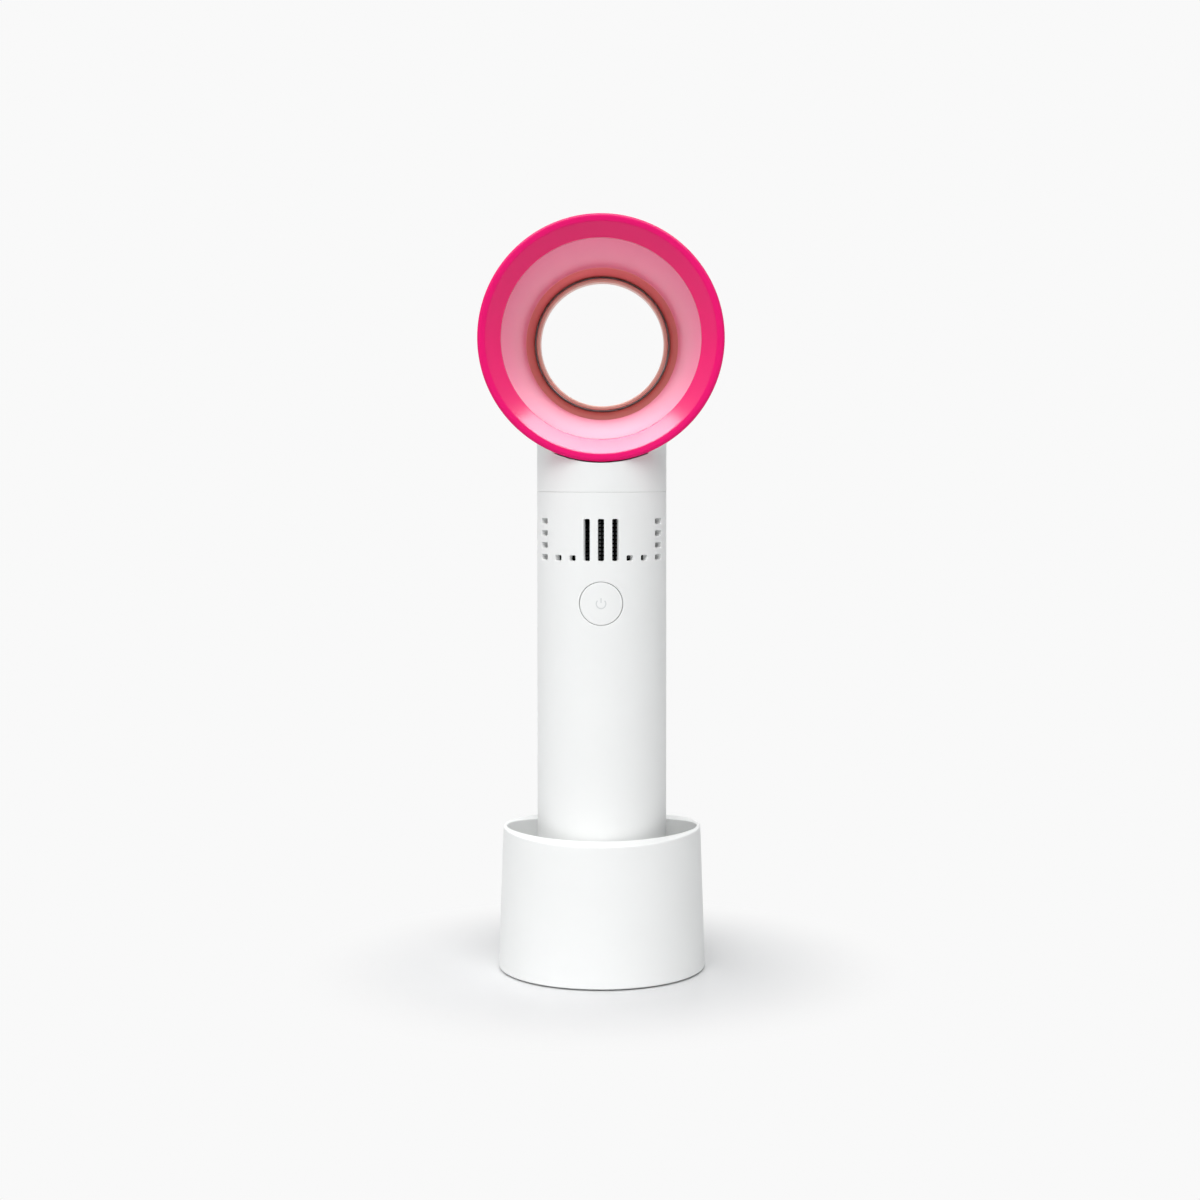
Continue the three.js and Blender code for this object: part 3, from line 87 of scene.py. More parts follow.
def span(node, axis):
    """A node's lowest and highest place along axis 0, 1 or 2."""
    return low(node)[axis], high(node)[axis]


def radius_of(node):
    """Half the width of a round node."""
    return (high(node)[0] - low(node)[0]) / 2


def height_of(node):
    """A node's height."""
    return high(node)[2] - low(node)[2]


def centre_of(node):
    """The middle of a node's box in X and Y, and its lowest height."""
    middle = (low(node) + high(node)) / 2
    return np.array([middle[0], middle[1], low(node)[2]])


HANDLE_RADIUS = radius_of("handle_tube")
HANDLE_WALL = 1.8 * MM
HANDLE_BORE = HANDLE_RADIUS - HANDLE_WALL
SEAM = high("handle_tube")[2]
NECK_BOTTOM = SEAM + 0.06 * MM
BORE_EDGE = 0.12 * MM  # edge radius of the handle's and the neck's bore
RING_RADIUS = radius_of("head_shell")
RING_HEIGHT = high("head_shell")[2] - RING_RADIUS
RING_FRONT = low("front_rim")[1]
RING_BACK = high("head_shell")[1]
BACK_EDGE = 6 * MM
RIM_SEAM = high("front_rim")[1]
SHELL_FRONT = low("air_funnel")[1]
HEAD_WALL = 1.6 * MM
HEAD_BORE = RING_RADIUS - HEAD_WALL
LIP_WIDTH = 1.95 * MM
MOUTH_RADIUS = 26.45 * MM  # where the rim's flank meets the funnel
NOZZLE_RADIUS = 20.9 * MM  # where the funnel meets the nozzle ring
SLIT_RADIUS = 18.67 * MM  # outer wall of the air slit
BUTTON_HEIGHT = sum(span("power_button", 2)) / 2
BUTTON_RADIUS = 5.65 * MM
BUTTON_CLEARANCE = 0.14 * MM
PIN_HOLE_RADIUS = 1.05 * MM
VENT_HEIGHT = 11.1 * MM
VENT_BOTTOM = high("intake_screen")[2] - VENT_HEIGHT
VENT_WIDTH = 1.66 * MM
VENT_PITCH = 3.8 * MM
VENT_COLUMNS = 4  # on each side of the middle one
SLOT_COLUMNS = 1  # of them, those that are full slots
HOLE_HEIGHT = 1.5 * MM
HOLE_PITCH = 3.2 * MM
HOLE_ROWS = 4
WINDOW_COLUMNS = 9  # columns of points over the window round a vent
WINDOW_ROWS = 7  # rows of points over the window round a hole


# ------------------------------------------------------------------ surfaces


def unit(vectors):
    """Vectors of length one, along the last axis."""
    return vectors / np.linalg.norm(vectors, axis=-1, keepdims=True)


def together(*parts):
    """Arrays of single places put together as points, along a new last axis."""
    return np.stack(np.broadcast_arrays(*parts), axis=-1)


def turns(columns):
    """The turns of evenly spread columns of points."""
    return np.linspace(0, FULL_TURN, columns, endpoint=False)


def about(axis, radius, turn, along):
    """Points at a radius and a turn about an axis, and a place along it.

    Round Z a point is (radius sin turn, -radius cos turn, along). Round Y it is
    (radius sin turn, along, radius cos turn).
    """
    side, up = radius * np.sin(turn), radius * np.cos(turn)
    return together(side, -up, along) if axis == "Z" else together(side, along, up)


def swept(outline, turn, axis="Z"):
    """An outline of (radius, place along the axis) at every turn about that axis."""
    return about(axis, outline[:, :1], turn, outline[:, 1:])


def rounded(corners, steps=ARC_STEPS):
    """A closed outline whose corners are arcs that touch both sides.

    A corner is (first, second, radius). The arc's middle lies on the line that halves the corner,
    radius / sin(half angle) away, and its ends are radius / tan(half angle) along the sides. Each
    value may be an array with one entry for every column of a surface.
    """
    shape = np.broadcast_shapes(*(np.shape(value) for corner in corners for value in corner))
    places = [np.stack([np.zeros(shape) + a, np.zeros(shape) + b], axis=-1) for a, b, _ in corners]
    share = np.linspace(0, 1, steps + 1)[:, None]
    outline = []
    for i, (here, (_, _, radius)) in enumerate(zip(places, corners)):
        if np.all(np.asarray(radius) == 0):
            outline.append(here[..., None, :])
            continue
        radius = (np.zeros(shape) + radius)[..., None]
        before = unit(places[i - 1] - here)
        after = unit(places[(i + 1) % len(corners)] - here)
        half = np.arccos(np.clip((before * after).sum(-1), -1, 1))[..., None] / 2
        middle = (here + unit(before + after) * radius / np.sin(half))[..., None, :]
        reach = radius / np.tan(half)
        start = (here + before * reach)[..., None, :]
        end = (here + after * reach)[..., None, :]
        sweep = (np.pi - 2 * half)[..., None]
        bend = (start - middle) * np.sin((1 - share) * sweep) + (end - middle) * np.sin(share * sweep)
        hold = radius[..., None] * HOLD
        first = start + before[..., None, :] * hold
        last = end + after[..., None, :] * hold
        outline.append(np.concatenate([first, middle + bend / np.sin(sweep), last], axis=-2))
    return np.concatenate(outline, axis=-2)


def with_rows(outline, outer, inner, heights):
    """An outline with more points at those heights on its outer and its inner side.

    They stand after the points of those numbers, going up the outer side and down the inner one.
    Their own numbers on each side come with it, from the lowest up.
    """
    count, row = len(heights), np.arange(len(heights))
    sides = {outer: heights, inner: heights[::-1]}
    for index in sorted(sides, reverse=True):
        start, end = outline[..., index, :], outline[..., (index + 1) % outline.shape[-2], :]
        share = (sides[index] - start[..., 1:]) / (end[..., 1:] - start[..., 1:])
        extra = start[..., None, :] + share[..., None] * (end - start)[..., None, :]
        parts = [outline[..., : index + 1, :], extra, outline[..., index + 1 :, :]]
        outline = np.concatenate(parts, axis=-2)
    outer_rows = outer + 1 + row + count * (inner < outer)
    return outline, outer_rows, inner + count - row + count * (outer < inner)


def quads(rows, columns, closed_rows=False):
    """Corner numbers of the cells of a grid that is numbered row by row and whose columns close."""
    r, c = np.meshgrid(np.arange(rows if closed_rows else rows - 1), np.arange(columns), indexing="ij")
    up, on = (r + 1) % rows, (c + 1) % columns
    cells = together(r * columns + c, r * columns + on, up * columns + on, up * columns + c)
    return cells.reshape(-1, 4)


def shell(points, faces):
    """A closed shell as points and two kinds of faces, quads and triangles.

    Doubles are merged, sides of no length left out, and the faces turned outwards.
    """
    key = np.round(points / (1e-4 * MM)).astype(np.int64)
    _, first, number = np.unique(key, axis=0, return_index=True, return_inverse=True)
    faces = number.reshape(-1)[faces]
    points = points[first]
    kept = faces != np.roll(faces, -1, axis=1)
    sides = kept.sum(axis=1)
    whole = faces[sides == 4]
    narrow = faces[sides == 3][kept[sides == 3]].reshape(-1, 3)
    used, number = np.unique(np.concatenate([whole.reshape(-1), narrow.reshape(-1)]), return_inverse=True)
    points = points[used]
    whole, narrow = number[: whole.size].reshape(-1, 4), number[whole.size :].reshape(-1, 3)
    triangles = np.concatenate([whole[:, [0, 1, 2]], whole[:, [0, 2, 3]], narrow])
    a, b, c = (points[triangles[:, i]] for i in range(3))
    if (a * np.cross(b, c)).sum() < 0:
        whole, narrow = whole[:, ::-1], narrow[:, ::-1]
    return points, (whole, narrow)


def skin(points, closed_rows=False, offset=(0, 0, 0)):
    """A shell over a grid of points whose columns close, carried by an offset."""
    points, faces = shell(points.reshape(-1, 3), quads(*points.shape[:2], closed_rows))
    return points + np.asarray(offset), faces


def turned(outline, columns, axis="Z", centre=(0, 0, 0)):
    """A closed outline of (radius, place along the axis) turned round an axis."""
    return skin(swept(outline, turns(columns), axis) + np.asarray(centre), closed_rows=True)


class PunchedWall:
    """A grid of points that closes both ways, with holes through it.

    For a hole, the cells inside a window are left out on the outer and on the inner side, and
    rings of points are set between the two window edges.
    """

    def __init__(self, grid):
        self.rows, self.columns = grid.shape[:2]
        self.grid = grid.reshape(-1, 3)
        self.points = [self.grid]
        self.faces = []
        self.kept = np.ones((self.rows, self.columns), bool)

    def edge(self, rows, columns):
        """The numbers of the points round a window, once round."""
        sides = [
            rows[0] * self.columns + columns[:-1],
            rows[:-1] * self.columns + columns[-1],
            rows[-1] * self.columns + columns[:0:-1],
            rows[:0:-1] * self.columns + columns[0],
        ]
        return np.concatenate(sides)

    def punch(self, outer_rows, inner_rows, columns, *hole):
        """Opens a window and fills it up to a hole, whose measures hole_rings takes in that order."""
        for rows in (outer_rows, inner_rows):
            self.kept[np.ix_(np.arange(rows.min(), rows.max()), columns[:-1])] = False
        outer, inner = self.edge(outer_rows, columns), self.edge(inner_rows, columns)
        between = hole_rings(self.grid[outer], *hole)
        count = sum(len(points) for points in self.points)
        numbers = count + np.arange(between.shape[0] * between.shape[1]).reshape(between.shape[:2])
        ladder = np.concatenate([outer[None], numbers, inner[None]])
        on = np.roll(ladder, -1, axis=1)
        strips = together(ladder[:-1], on[:-1], on[1:], ladder[1:])
        self.points.append(between.reshape(-1, 3))
        self.faces.append(strips.reshape(-1, 4))

    def shell(self):
        """The whole wall as one closed shell."""
        cells = quads(self.rows, self.columns, closed_rows=True)
        faces = [cells[self.kept.reshape(-1)], *self.faces]
        return shell(np.concatenate(self.points), np.concatenate(faces))


def hole_rings(edge, middle, half_size, corner, round_edge, wall, surface):
    """Rings from a window's edge to a round-cornered hole and on through the wall.

    A point of the hole's outline is the nearest one to its point on the window's edge: the point
    clamped to the box of the corners' middles, and from there out by the corner's radius. The
    hole's edges are quarter rounds: at angle a the ring stands off by r (1 - sin a) and lies
    r (1 - cos a) deep. surface(x, z, depth) gives the place on the wall.
    """
    place, half = edge[:, ::2], np.array(half_size)
    core = np.clip(place - middle, corner - half, half - corner)
    away = unit(place - middle - core)

    def outline(stand_off):
        return core + away * (corner + stand_off) + middle

    angle = np.linspace(0, math.pi / 2, ARC_STEPS)
    stand_off, sunk = round_edge * (1 - np.sin(angle)), round_edge * (1 - np.cos(angle))
    rings = [surface(*((place + outline(round_edge)) / 2).T, 0)]
    depths = [*sunk, *(wall - sunk[::-1])]
    for off, depth in zip([*stand_off, *stand_off[::-1]], depths):
        rings.append(surface(*outline(off).T, depth))
    return np.array(rings)


# ------------------------------------------------------------------ pieces


def placed(name, data):
    """An object in the scene, at the origin."""
    made = bpy.data.objects.new(name, data)
    bpy.context.scene.collection.objects.link(made)
    return made


def make_piece(name, shells, body, slot, *nodes, finish=None):
    """One piece from closed shells, smooth but for its sharp edges, that rides on a body.

    It has its slot's finish, or the one that is named.
    """
    faces, count = [], 0
    for points, kinds in shells:
        for kind in kinds:
            faces += (kind + count).tolist()
        count += len(points)
    mesh = bpy.data.meshes.new(name)
    mesh.from_pydata(np.concatenate([points for points, _ in shells]), [], faces)
    mesh.shade_smooth()
    mesh.set_sharp_from_angle(angle=SHARP)
    mesh.materials.append(finish_named(finish or slot))
    piece = placed(name, mesh)
    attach(piece, body)
    if nodes:
        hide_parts(*nodes)


def base_shells(size):
    """The shell of the charging base.

    For each turn the outline runs up the tapered wall, over the rim, down the oval recess and the
    round socket, and back inside. The recess lies at 1 / sqrt((sin / half length)^2 +
    (cos / half depth)^2). Heights above the recess floor are lifted by a share of
    dip (x / rim radius)^2, which makes the saddle.
    """
    turn = turns(BODY_COLUMNS)
    foot_edge = 0.4 * MM
    bottom = low("base_shell")[2] - 0.4 * MM  # lower than the solid, whose edge is blunter
    foot_radius = radius_of("base_shell")
    rim = high("base_shell")[2] - size.saddle_dip
    floor, ceiling, underside = 16 * MM, 12 * MM, 8 * MM
    socket = HANDLE_RADIUS + 0.4 * MM
    sleeve = socket + 2 * MM
    inside = foot_radius - 2 * MM
    half_length = size.rim_radius - 1 * MM
    half_depth = HANDLE_RADIUS + 0.8 * MM
    recess = 1 / np.sqrt((np.sin(turn) / half_length) ** 2 + (np.cos(turn) / half_depth) ** 2)
    ledge = recess - socket
    outline = rounded([
        (sleeve, underside, 0), (sleeve, ceiling, 0),
        (inside, ceiling, 0), (inside, bottom, 2 * CRISP),
        (foot_radius, bottom, foot_edge), (size.rim_radius, rim, 0.4 * MM),
        (recess, rim, 0.3 * MM), (recess, floor, np.minimum(0.5 * MM, 0.45 * ledge)),
        (socket, floor, np.minimum(0.3 * MM, 0.25 * ledge)), (socket, underside, 0),
    ])
    mouth_rows = np.linspace(3.2, 8.8, 9) * MM  # over the window round the charging inlet
    outline, outer, inner = with_rows(outline, 2 + 2 * ARC_POINTS, 2, mouth_rows)
    radius, height = outline[..., 0].T, outline[..., 1].T
    x = radius * np.sin(turn)
    lift = np.clip((height - floor) / (rim - floor), 0, 1)
    height = height + size.saddle_dip * (x / size.rim_radius) ** 2 * lift
    wall = PunchedWall(about("Z", radius, turn, height))
    taper = (foot_radius - size.rim_radius) / (rim - bottom - foot_edge)

    def surface(x, z, depth):
        here = foot_radius - taper * (z - bottom - foot_edge) - depth
        return together(x, np.sqrt(here**2 - x**2), z)

    columns = BODY_COLUMNS // 2 + np.arange(-8, 9)  # on both sides of the back's middle
    half_size, edge, thickness = (4.35 * MM, 1.9 * MM), 0.3 * MM, 1.85 * MM
    middle = (0, inlet_middle()[2])
    wall.punch(outer, inner, columns, middle, half_size, half_size[1], edge, thickness, surface)
    return [wall.shell(), dock_floor(socket)]


def dock_floor(socket):
    """The round floor of the socket, a disc with a hole for each contact pin.

    Each half of the disc is a fan of rays from the middle of its own hole. Points stand along a
    ray from the hole's edge to the nearer of the disc's edge and the line between the halves:
    for a ray of direction (c, s) from (a, 0) that is -a c + sqrt(R^2 - a^2 s^2) or -a / c.
    """
    top = low("bottom_cap")[2] - 0.3 * MM
    thickness = 2 * MM
    disc = socket + 0.4 * MM
    pin_x = centre_of("contact_pin_right")[0]
    corner = math.atan2(disc, -pin_x)
    arc = np.linspace(-corner, corner, 61)
    line = np.linspace(corner, FULL_TURN - corner, 26)[1:-1]
    angle = np.concatenate([arc, line])
    c, s = np.cos(angle), np.sin(angle)
    to_disc = -pin_x * c + np.sqrt(disc**2 - (pin_x * s) ** 2)
    reach = np.where(np.arange(len(angle)) < len(arc), to_disc, -pin_x / np.minimum(c, -1e-6))
    share = np.array([0.0, 0.12, 0.35, 0.65, 1.0])[:, None]
    radius = PIN_HOLE_RADIUS + share * (reach - PIN_HOLE_RADIUS)
    levels = [together(pin_x + radius * c, radius * s, z) for z in (top, top - thickness)]
    points = np.concatenate([levels[0], levels[1][::-1]])
    rows, columns = points.shape[:2]
    kept = np.ones((rows, columns), bool)
    kept[len(share) - 1, len(arc) - 1 :] = False  # no wall along the line between the halves
    faces = quads(rows, columns, closed_rows=True)[kept.reshape(-1)]
    points = points.reshape(-1, 3)
    both = np.concatenate([points, points * [-1, 1, 1]])
    return shell(both, np.concatenate([faces, faces[:, ::-1] + len(points)]))


def tube_turns():
    """The turns of the handle's columns of points: fine lines over the vents, mirrored at the back."""
    windows = (np.arange(-VENT_COLUMNS, VENT_COLUMNS + 1) * VENT_PITCH)[:, None]
    lines = np.linspace(-1.5, 1.5, WINDOW_COLUMNS) * MM
    front = np.arcsin((windows + lines).reshape(-1) / HANDLE_RADIUS)
    side = np.linspace(front[-1], math.pi + front[0], 12)[1:-1]  # coarser from there to the back
    half = np.concatenate([front, side])
    return np.concatenate([half, half + math.pi])


def vent_windows(column):
    """For a column of vents, the bottom of each opening, its rows of points and its height."""
    if abs(column) <= SLOT_COLUMNS:
        return [(VENT_BOTTOM, np.arange(WINDOW_ROWS * HOLE_ROWS), VENT_HEIGHT)]
    holes = HOLE_ROWS if abs(column) == VENT_COLUMNS else 1
    rows = np.arange(WINDOW_ROWS)
    return [(VENT_BOTTOM + HOLE_PITCH * i, WINDOW_ROWS * i + rows, HOLE_HEIGHT) for i in range(holes)]


def handle_shells(size):
    """The handle's tube with its vents at front and back and the hole for the power button.

    The tube's outline of (radius, height) is turned round Z. Rows of points follow the edges of
    the windows round the vents and the button.
    """
    turn = tube_turns()
    bottom = low("handle_tube")[2]
    button_rows = BUTTON_HEIGHT + np.linspace(-7.4, 7.4, 29) * MM  # over the button's window
    margin = 0.55 * MM  # from a hole to the edge of its window
    starts = VENT_BOTTOM + HOLE_PITCH * np.arange(HOLE_ROWS)[:, None] - margin
    vent_rows = (starts + np.linspace(0, HOLE_HEIGHT + 2 * margin, WINDOW_ROWS)).reshape(-1)
    plain_rows = np.linspace(bottom + 4 * MM, button_rows[0] - 4 * MM, 9)
    heights = np.concatenate([plain_rows, button_rows, vent_rows])
    outline = rounded([
        (HANDLE_BORE, bottom, BORE_EDGE), (HANDLE_RADIUS, bottom, size.seam_edge),
        (HANDLE_RADIUS, SEAM, size.seam_edge), (HANDLE_BORE, SEAM, BORE_EDGE),
    ])
    outline, outer, inner = with_rows(outline, 2 * ARC_POINTS - 1, 4 * ARC_POINTS - 1, heights)
    wall = PunchedWall(swept(outline, turn))

    def around(side):
        """The wall at the front (1) or the back (-1), for holes with radial walls."""

        def surface(x, z, depth):
            share = (HANDLE_RADIUS - depth) / HANDLE_RADIUS
            y = -side * np.sqrt(HANDLE_RADIUS**2 - x**2)
            return together(x * share, y * share, z)

        return surface

    def straight(x, z, depth):
        """The wall at the front, for a hole with straight walls."""
        return together(x, -np.sqrt((HANDLE_RADIUS - depth) ** 2 - x**2), z)

    first_vent = len(plain_rows) + len(button_rows)
    for side, offset in ((1, 0), (-1, len(turn) // 2)):
        for column in range(-VENT_COLUMNS, VENT_COLUMNS + 1):
            columns = offset + WINDOW_COLUMNS * (column + VENT_COLUMNS) + np.arange(WINDOW_COLUMNS)
            for hole_bottom, rows, tall in vent_windows(column):
                middle = (side * column * VENT_PITCH, hole_bottom + tall / 2)
                corner = min(VENT_WIDTH, tall) / 2 * size.vent_roundness
                hole = (middle, (VENT_WIDTH / 2, tall / 2), corner, size.vent_edge)
                rows = first_vent + rows
                wall.punch(outer[rows], inner[rows], columns, *hole, HANDLE_WALL, around(side))
    rows = np.arange(len(plain_rows), first_vent)
    columns = WINDOW_COLUMNS * VENT_COLUMNS + WINDOW_COLUMNS // 2 + np.arange(-18, 19)
    reach = BUTTON_RADIUS + BUTTON_CLEARANCE
    hole = ((0, BUTTON_HEIGHT), (reach, reach), reach, size.button_edge)
    wall.punch(outer[rows], inner[rows], columns, *hole, HANDLE_WALL, straight)
    return [wall.shell()]


def drum_distance(x, y, z, radius):
    """Distance from the head's casing: a drum about the Y axis with a round back edge."""
    across = np.hypot(x, z - RING_HEIGHT) - (radius - BACK_EDGE)
    along = y - (RING_BACK - BACK_EDGE)
    outside = np.hypot(np.maximum(across, 0), np.maximum(along, 0))
    return outside + np.minimum(np.maximum(across, along), 0) - BACK_EDGE


def height_at(x, y, radius, distance):
    """The height below the ring's axis at which the drum is that far away, found by halving."""
    bottom, top = np.full_like(x, NECK_BOTTOM), np.full_like(x, RING_HEIGHT)
    for _ in range(40):
        middle = (bottom + top) / 2
        far = drum_distance(x, y, middle, radius) > distance
        bottom, top = np.where(far, middle, bottom), np.where(far, top, middle)
    return bottom


def neck_shell(size):
    """The neck, a tube round Z whose top meets the head's casing in a fillet.

    A ball of the fillet's radius rolls between the neck and the casing. The fillet runs out
    towards the front, where the casing ends over the neck.
    """
    turn = turns(BODY_COLUMNS)
    side, front = np.sin(turn), -np.cos(turn)
    y = HANDLE_RADIUS * front
    joined = np.clip((y - SHELL_FRONT) / (0.6 * MM) + 1, 0, 1)
    fillet = 0.02 * MM + size.neck_fillet * np.clip((y - SHELL_FRONT) / (6 * MM), 0, 1)
    drum = RING_RADIUS + 0.3 * MM * (1 - joined)
    ball = HANDLE_RADIUS + fillet
    ball_x, ball_y = ball * side, ball * front
    ball_z = height_at(ball_x, ball_y, drum, fillet)
    across = np.hypot(ball_x, ball_z - RING_HEIGHT)
    lean = np.maximum(across - (drum - BACK_EDGE), 1e-9)
    back = np.maximum(ball_y - (RING_BACK - BACK_EDGE), 0)
    slope = unit(together(lean * ball_x / across, back, lean * (ball_z - RING_HEIGHT) / across))
    centre = together(ball_x, ball_y, ball_z)
    to_neck = together(-side, -front, 0)
    share = np.linspace(0, 1, ARC_STEPS + 1)[:, None, None]
    bend = centre + fillet[:, None] * unit((1 - share) * to_neck - share * slope)
    depth = 0.8 * MM * joined - 0.02 * MM  # how far the neck's top is sunk into the casing
    sunk = centre - (fillet + depth)[:, None] * slope
    inner_top = height_at(HANDLE_BORE * side, HANDLE_BORE * front, drum, -depth)
    above = SEAM + 40 * MM  # any height over the neck's lower edge
    foot = rounded([
        (HANDLE_BORE, NECK_BOTTOM, BORE_EDGE),
        (HANDLE_RADIUS, NECK_BOTTOM, size.seam_edge), (HANDLE_RADIUS, above, 0),
        (HANDLE_BORE, above, 0),
    ])[:-2]
    rows = [
        swept(foot, turn),
        bend,
        sunk[None],
        about("Z", HANDLE_BORE, turn, inner_top)[None],
    ]
    return skin(np.concatenate(rows), closed_rows=True)


def head_ring(outline, columns=RING_COLUMNS):
    """An outline of (radius, place along Y) turned about the head's axis."""
    return turned(outline, columns, "Y", (0, 0, RING_HEIGHT))


def head_shells(size):
    """The ring's casing with its back wall, and the neck that grows out of the handle."""
    hole = radius_of("throat_ring") + 0.05 * MM
    wall_front = RING_BACK - HEAD_WALL
    corners = [
        (RING_RADIUS, SHELL_FRONT, 2 * CRISP), (RING_RADIUS, RING_BACK, BACK_EDGE),
        (hole, RING_BACK, 3 * CRISP), (hole, wall_front, CRISP),
        (HEAD_BORE, wall_front, BACK_EDGE - HEAD_WALL),
        (HEAD_BORE, SHELL_FRONT, 1.5 * CRISP),
    ]
    return [head_ring(rounded(corners, 2 * ARC_STEPS), CASING_COLUMNS), neck_shell(size)]


def rim_shells(size):
    """The front rim: a rounded lip and a flank that slopes in to the funnel."""
    corners = [
        (RING_RADIUS, RIM_SEAM, 2 * CRISP), (RING_RADIUS, RING_FRONT, 0.9 * MM),
        (RING_RADIUS - size.lip_width, RING_FRONT + 0.25 * MM, size.lip_edge),
        (MOUTH_RADIUS, RING_FRONT + 3.9 * MM, 3 * CRISP),
        (MOUTH_RADIUS, RIM_SEAM, CRISP), (MOUTH_RADIUS + HEAD_WALL, RIM_SEAM, CRISP),
        (HEAD_BORE, RING_FRONT + 2.2 * MM, 2 * CRISP), (HEAD_BORE, RIM_SEAM, CRISP),
    ]
    return [head_ring(rounded(corners, steps=8), CASING_COLUMNS)]


def funnel_shells():
    """The air funnel: a bell curve, a quadratic Bezier from the wide front to the nozzle."""
    back = high("air_funnel")[1]
    flange = radius_of("air_funnel")
    flange_back = SHELL_FRONT + 1.2 * MM
    wall = 1.4 * MM
    share = np.linspace(0, 1, 41)[:, None]
    start = np.array([MOUTH_RADIUS, SHELL_FRONT])
    waist = np.array([NOZZLE_RADIUS + 1 * MM, SHELL_FRONT + 0.45 * (back - SHELL_FRONT)])
    end = np.array([NOZZLE_RADIUS, back])
    inner = (1 - share) ** 2 * start + 2 * share * (1 - share) * waist + share**2 * end
    outer = inner[8:-1:4][::-1] + [wall, 0]
    lip = rounded([
        (MOUTH_RADIUS + wall, flange_back, 0), (flange, flange_back, 2 * CRISP),
        (flange, SHELL_FRONT, 2 * CRISP), (MOUTH_RADIUS + 0.5 * MM, SHELL_FRONT, 0),
    ])
    return [head_ring(np.concatenate([inner, [[NOZZLE_RADIUS + wall, back]], outer, lip]))]


def nozzle_shells():
    """The nozzle ring: a band that narrows to the air slit, and the slit's outer wall."""
    front, back = span("nozzle_ring", 1)
    wall = 1.4 * MM
    corners = [
        (NOZZLE_RADIUS, front, 0.25 * MM), (SLIT_RADIUS, front + 2.3 * MM, 0.35 * MM),
        (SLIT_RADIUS, back, CRISP), (SLIT_RADIUS + wall, back, CRISP),
        (NOZZLE_RADIUS + wall, front + 1.15 * MM, CRISP),
        (NOZZLE_RADIUS + wall, front, CRISP),
    ]
    return [head_ring(rounded(corners))]


def throat_shells():
    """The throat ring: the air slit's inner wall and the edge of the open hole."""
    front, back = span("throat_ring", 1)
    outer = radius_of("throat_ring")
    inner = outer - 1.2 * MM
    edge = 0.4 * MM
    corners = [
        (outer, back, CRISP), (outer, front, edge),
        (inner + 0.2 * MM, front, edge), (inner, (front + back) / 2, 1.5 * MM),
        (inner, back, edge),
    ]
    return [head_ring(rounded(corners))]


def button_shells(size):
    """The power button, in rings about its own axis, which runs front to back.

    The face follows the handle: y = -sqrt(R^2 - x^2). Its edge is a quarter round of radius r,
    at angle a r (1 - sin a) inside the side and r (1 - cos a) behind the face. A flange and a stem
    follow behind it.
    """
    edge = size.button_edge
    flange_front = low("power_button")[1] + 3.67 * MM
    flange_back = flange_front + 0.8 * MM
    flange_radius = radius_of("power_button")
    stem_back = high("power_button")[1]
    stem_radius = 1.6 * MM
    turn = turns(96)
    face = np.linspace(0, BUTTON_RADIUS - 1.35 * edge, 10)
    angle = np.linspace(0, math.pi / 2, ARC_STEPS + 1)
    radius = np.concatenate([face, BUTTON_RADIUS - edge * (1 - np.sin(angle))])[:, None]
    behind = np.concatenate([0 * face, edge * (1 - np.cos(angle))])[:, None]
    front = about("Y", radius, turn, behind - np.sqrt(HANDLE_RADIUS**2 - (radius * np.sin(turn)) ** 2))
    rest = np.array([
        (BUTTON_RADIUS, flange_front - 0.3 * MM), (BUTTON_RADIUS, flange_front),
        (flange_radius, flange_front), (flange_radius, flange_back),
        (stem_radius, flange_back), (stem_radius, stem_back),
        (0, stem_back),
    ])
    back = swept(rest, turn, "Y")
    return [skin(np.concatenate([front, back]), offset=(0, 0, BUTTON_HEIGHT))]


def screen_shells():
    """The intake screen: a thin ring of fine square mesh behind the vents.

    Columns and rows of points stand in pairs, a bar and a gap. The cell between two bars both
    ways is left out of the outer and the inner side, and joined through with four walls.
    """
    outer = radius_of("intake_screen")
    radius = np.array([outer, outer - 0.5 * MM])[:, None, None]
    bottom, columns, rows = low("intake_screen")[2], 84, 12
    bar = 0.4  # a bar's share of the pitch
    step = height_of("intake_screen") / (rows + bar)
    turn = (np.arange(columns)[:, None] + [0.0, bar]).reshape(-1) * FULL_TURN / columns
    height = bottom + (np.arange(rows + 1)[:, None] + [0.0, bar]).reshape(-1) * step
    points = about("Z", radius, turn, height[:, None])
    cells = quads(len(height), len(turn))
    row, column = np.divmod(np.arange(len(cells)), len(turn))
    hole = (row % 2 == 1) & (column % 2 == 1)
    inward = len(height) * len(turn)

    def joined(a, b):
        """Walls from the outer to the inner side, between points a and b."""
        return together(a, b, b + inward, a + inward)

    walls = [joined(cells[hole, i], cells[hole, (i + 1) % 4]) for i in range(4)]
    edge = np.arange(len(turn))
    after = (edge + 1) % len(turn)
    last = inward - len(turn)
    ends = [joined(after, edge), joined(edge + last, after + last)]
    solid = cells[~hole]
    faces = np.concatenate([solid, solid[:, ::-1] + inward, *walls, *ends])
    return [shell(points.reshape(-1, 3), faces)]


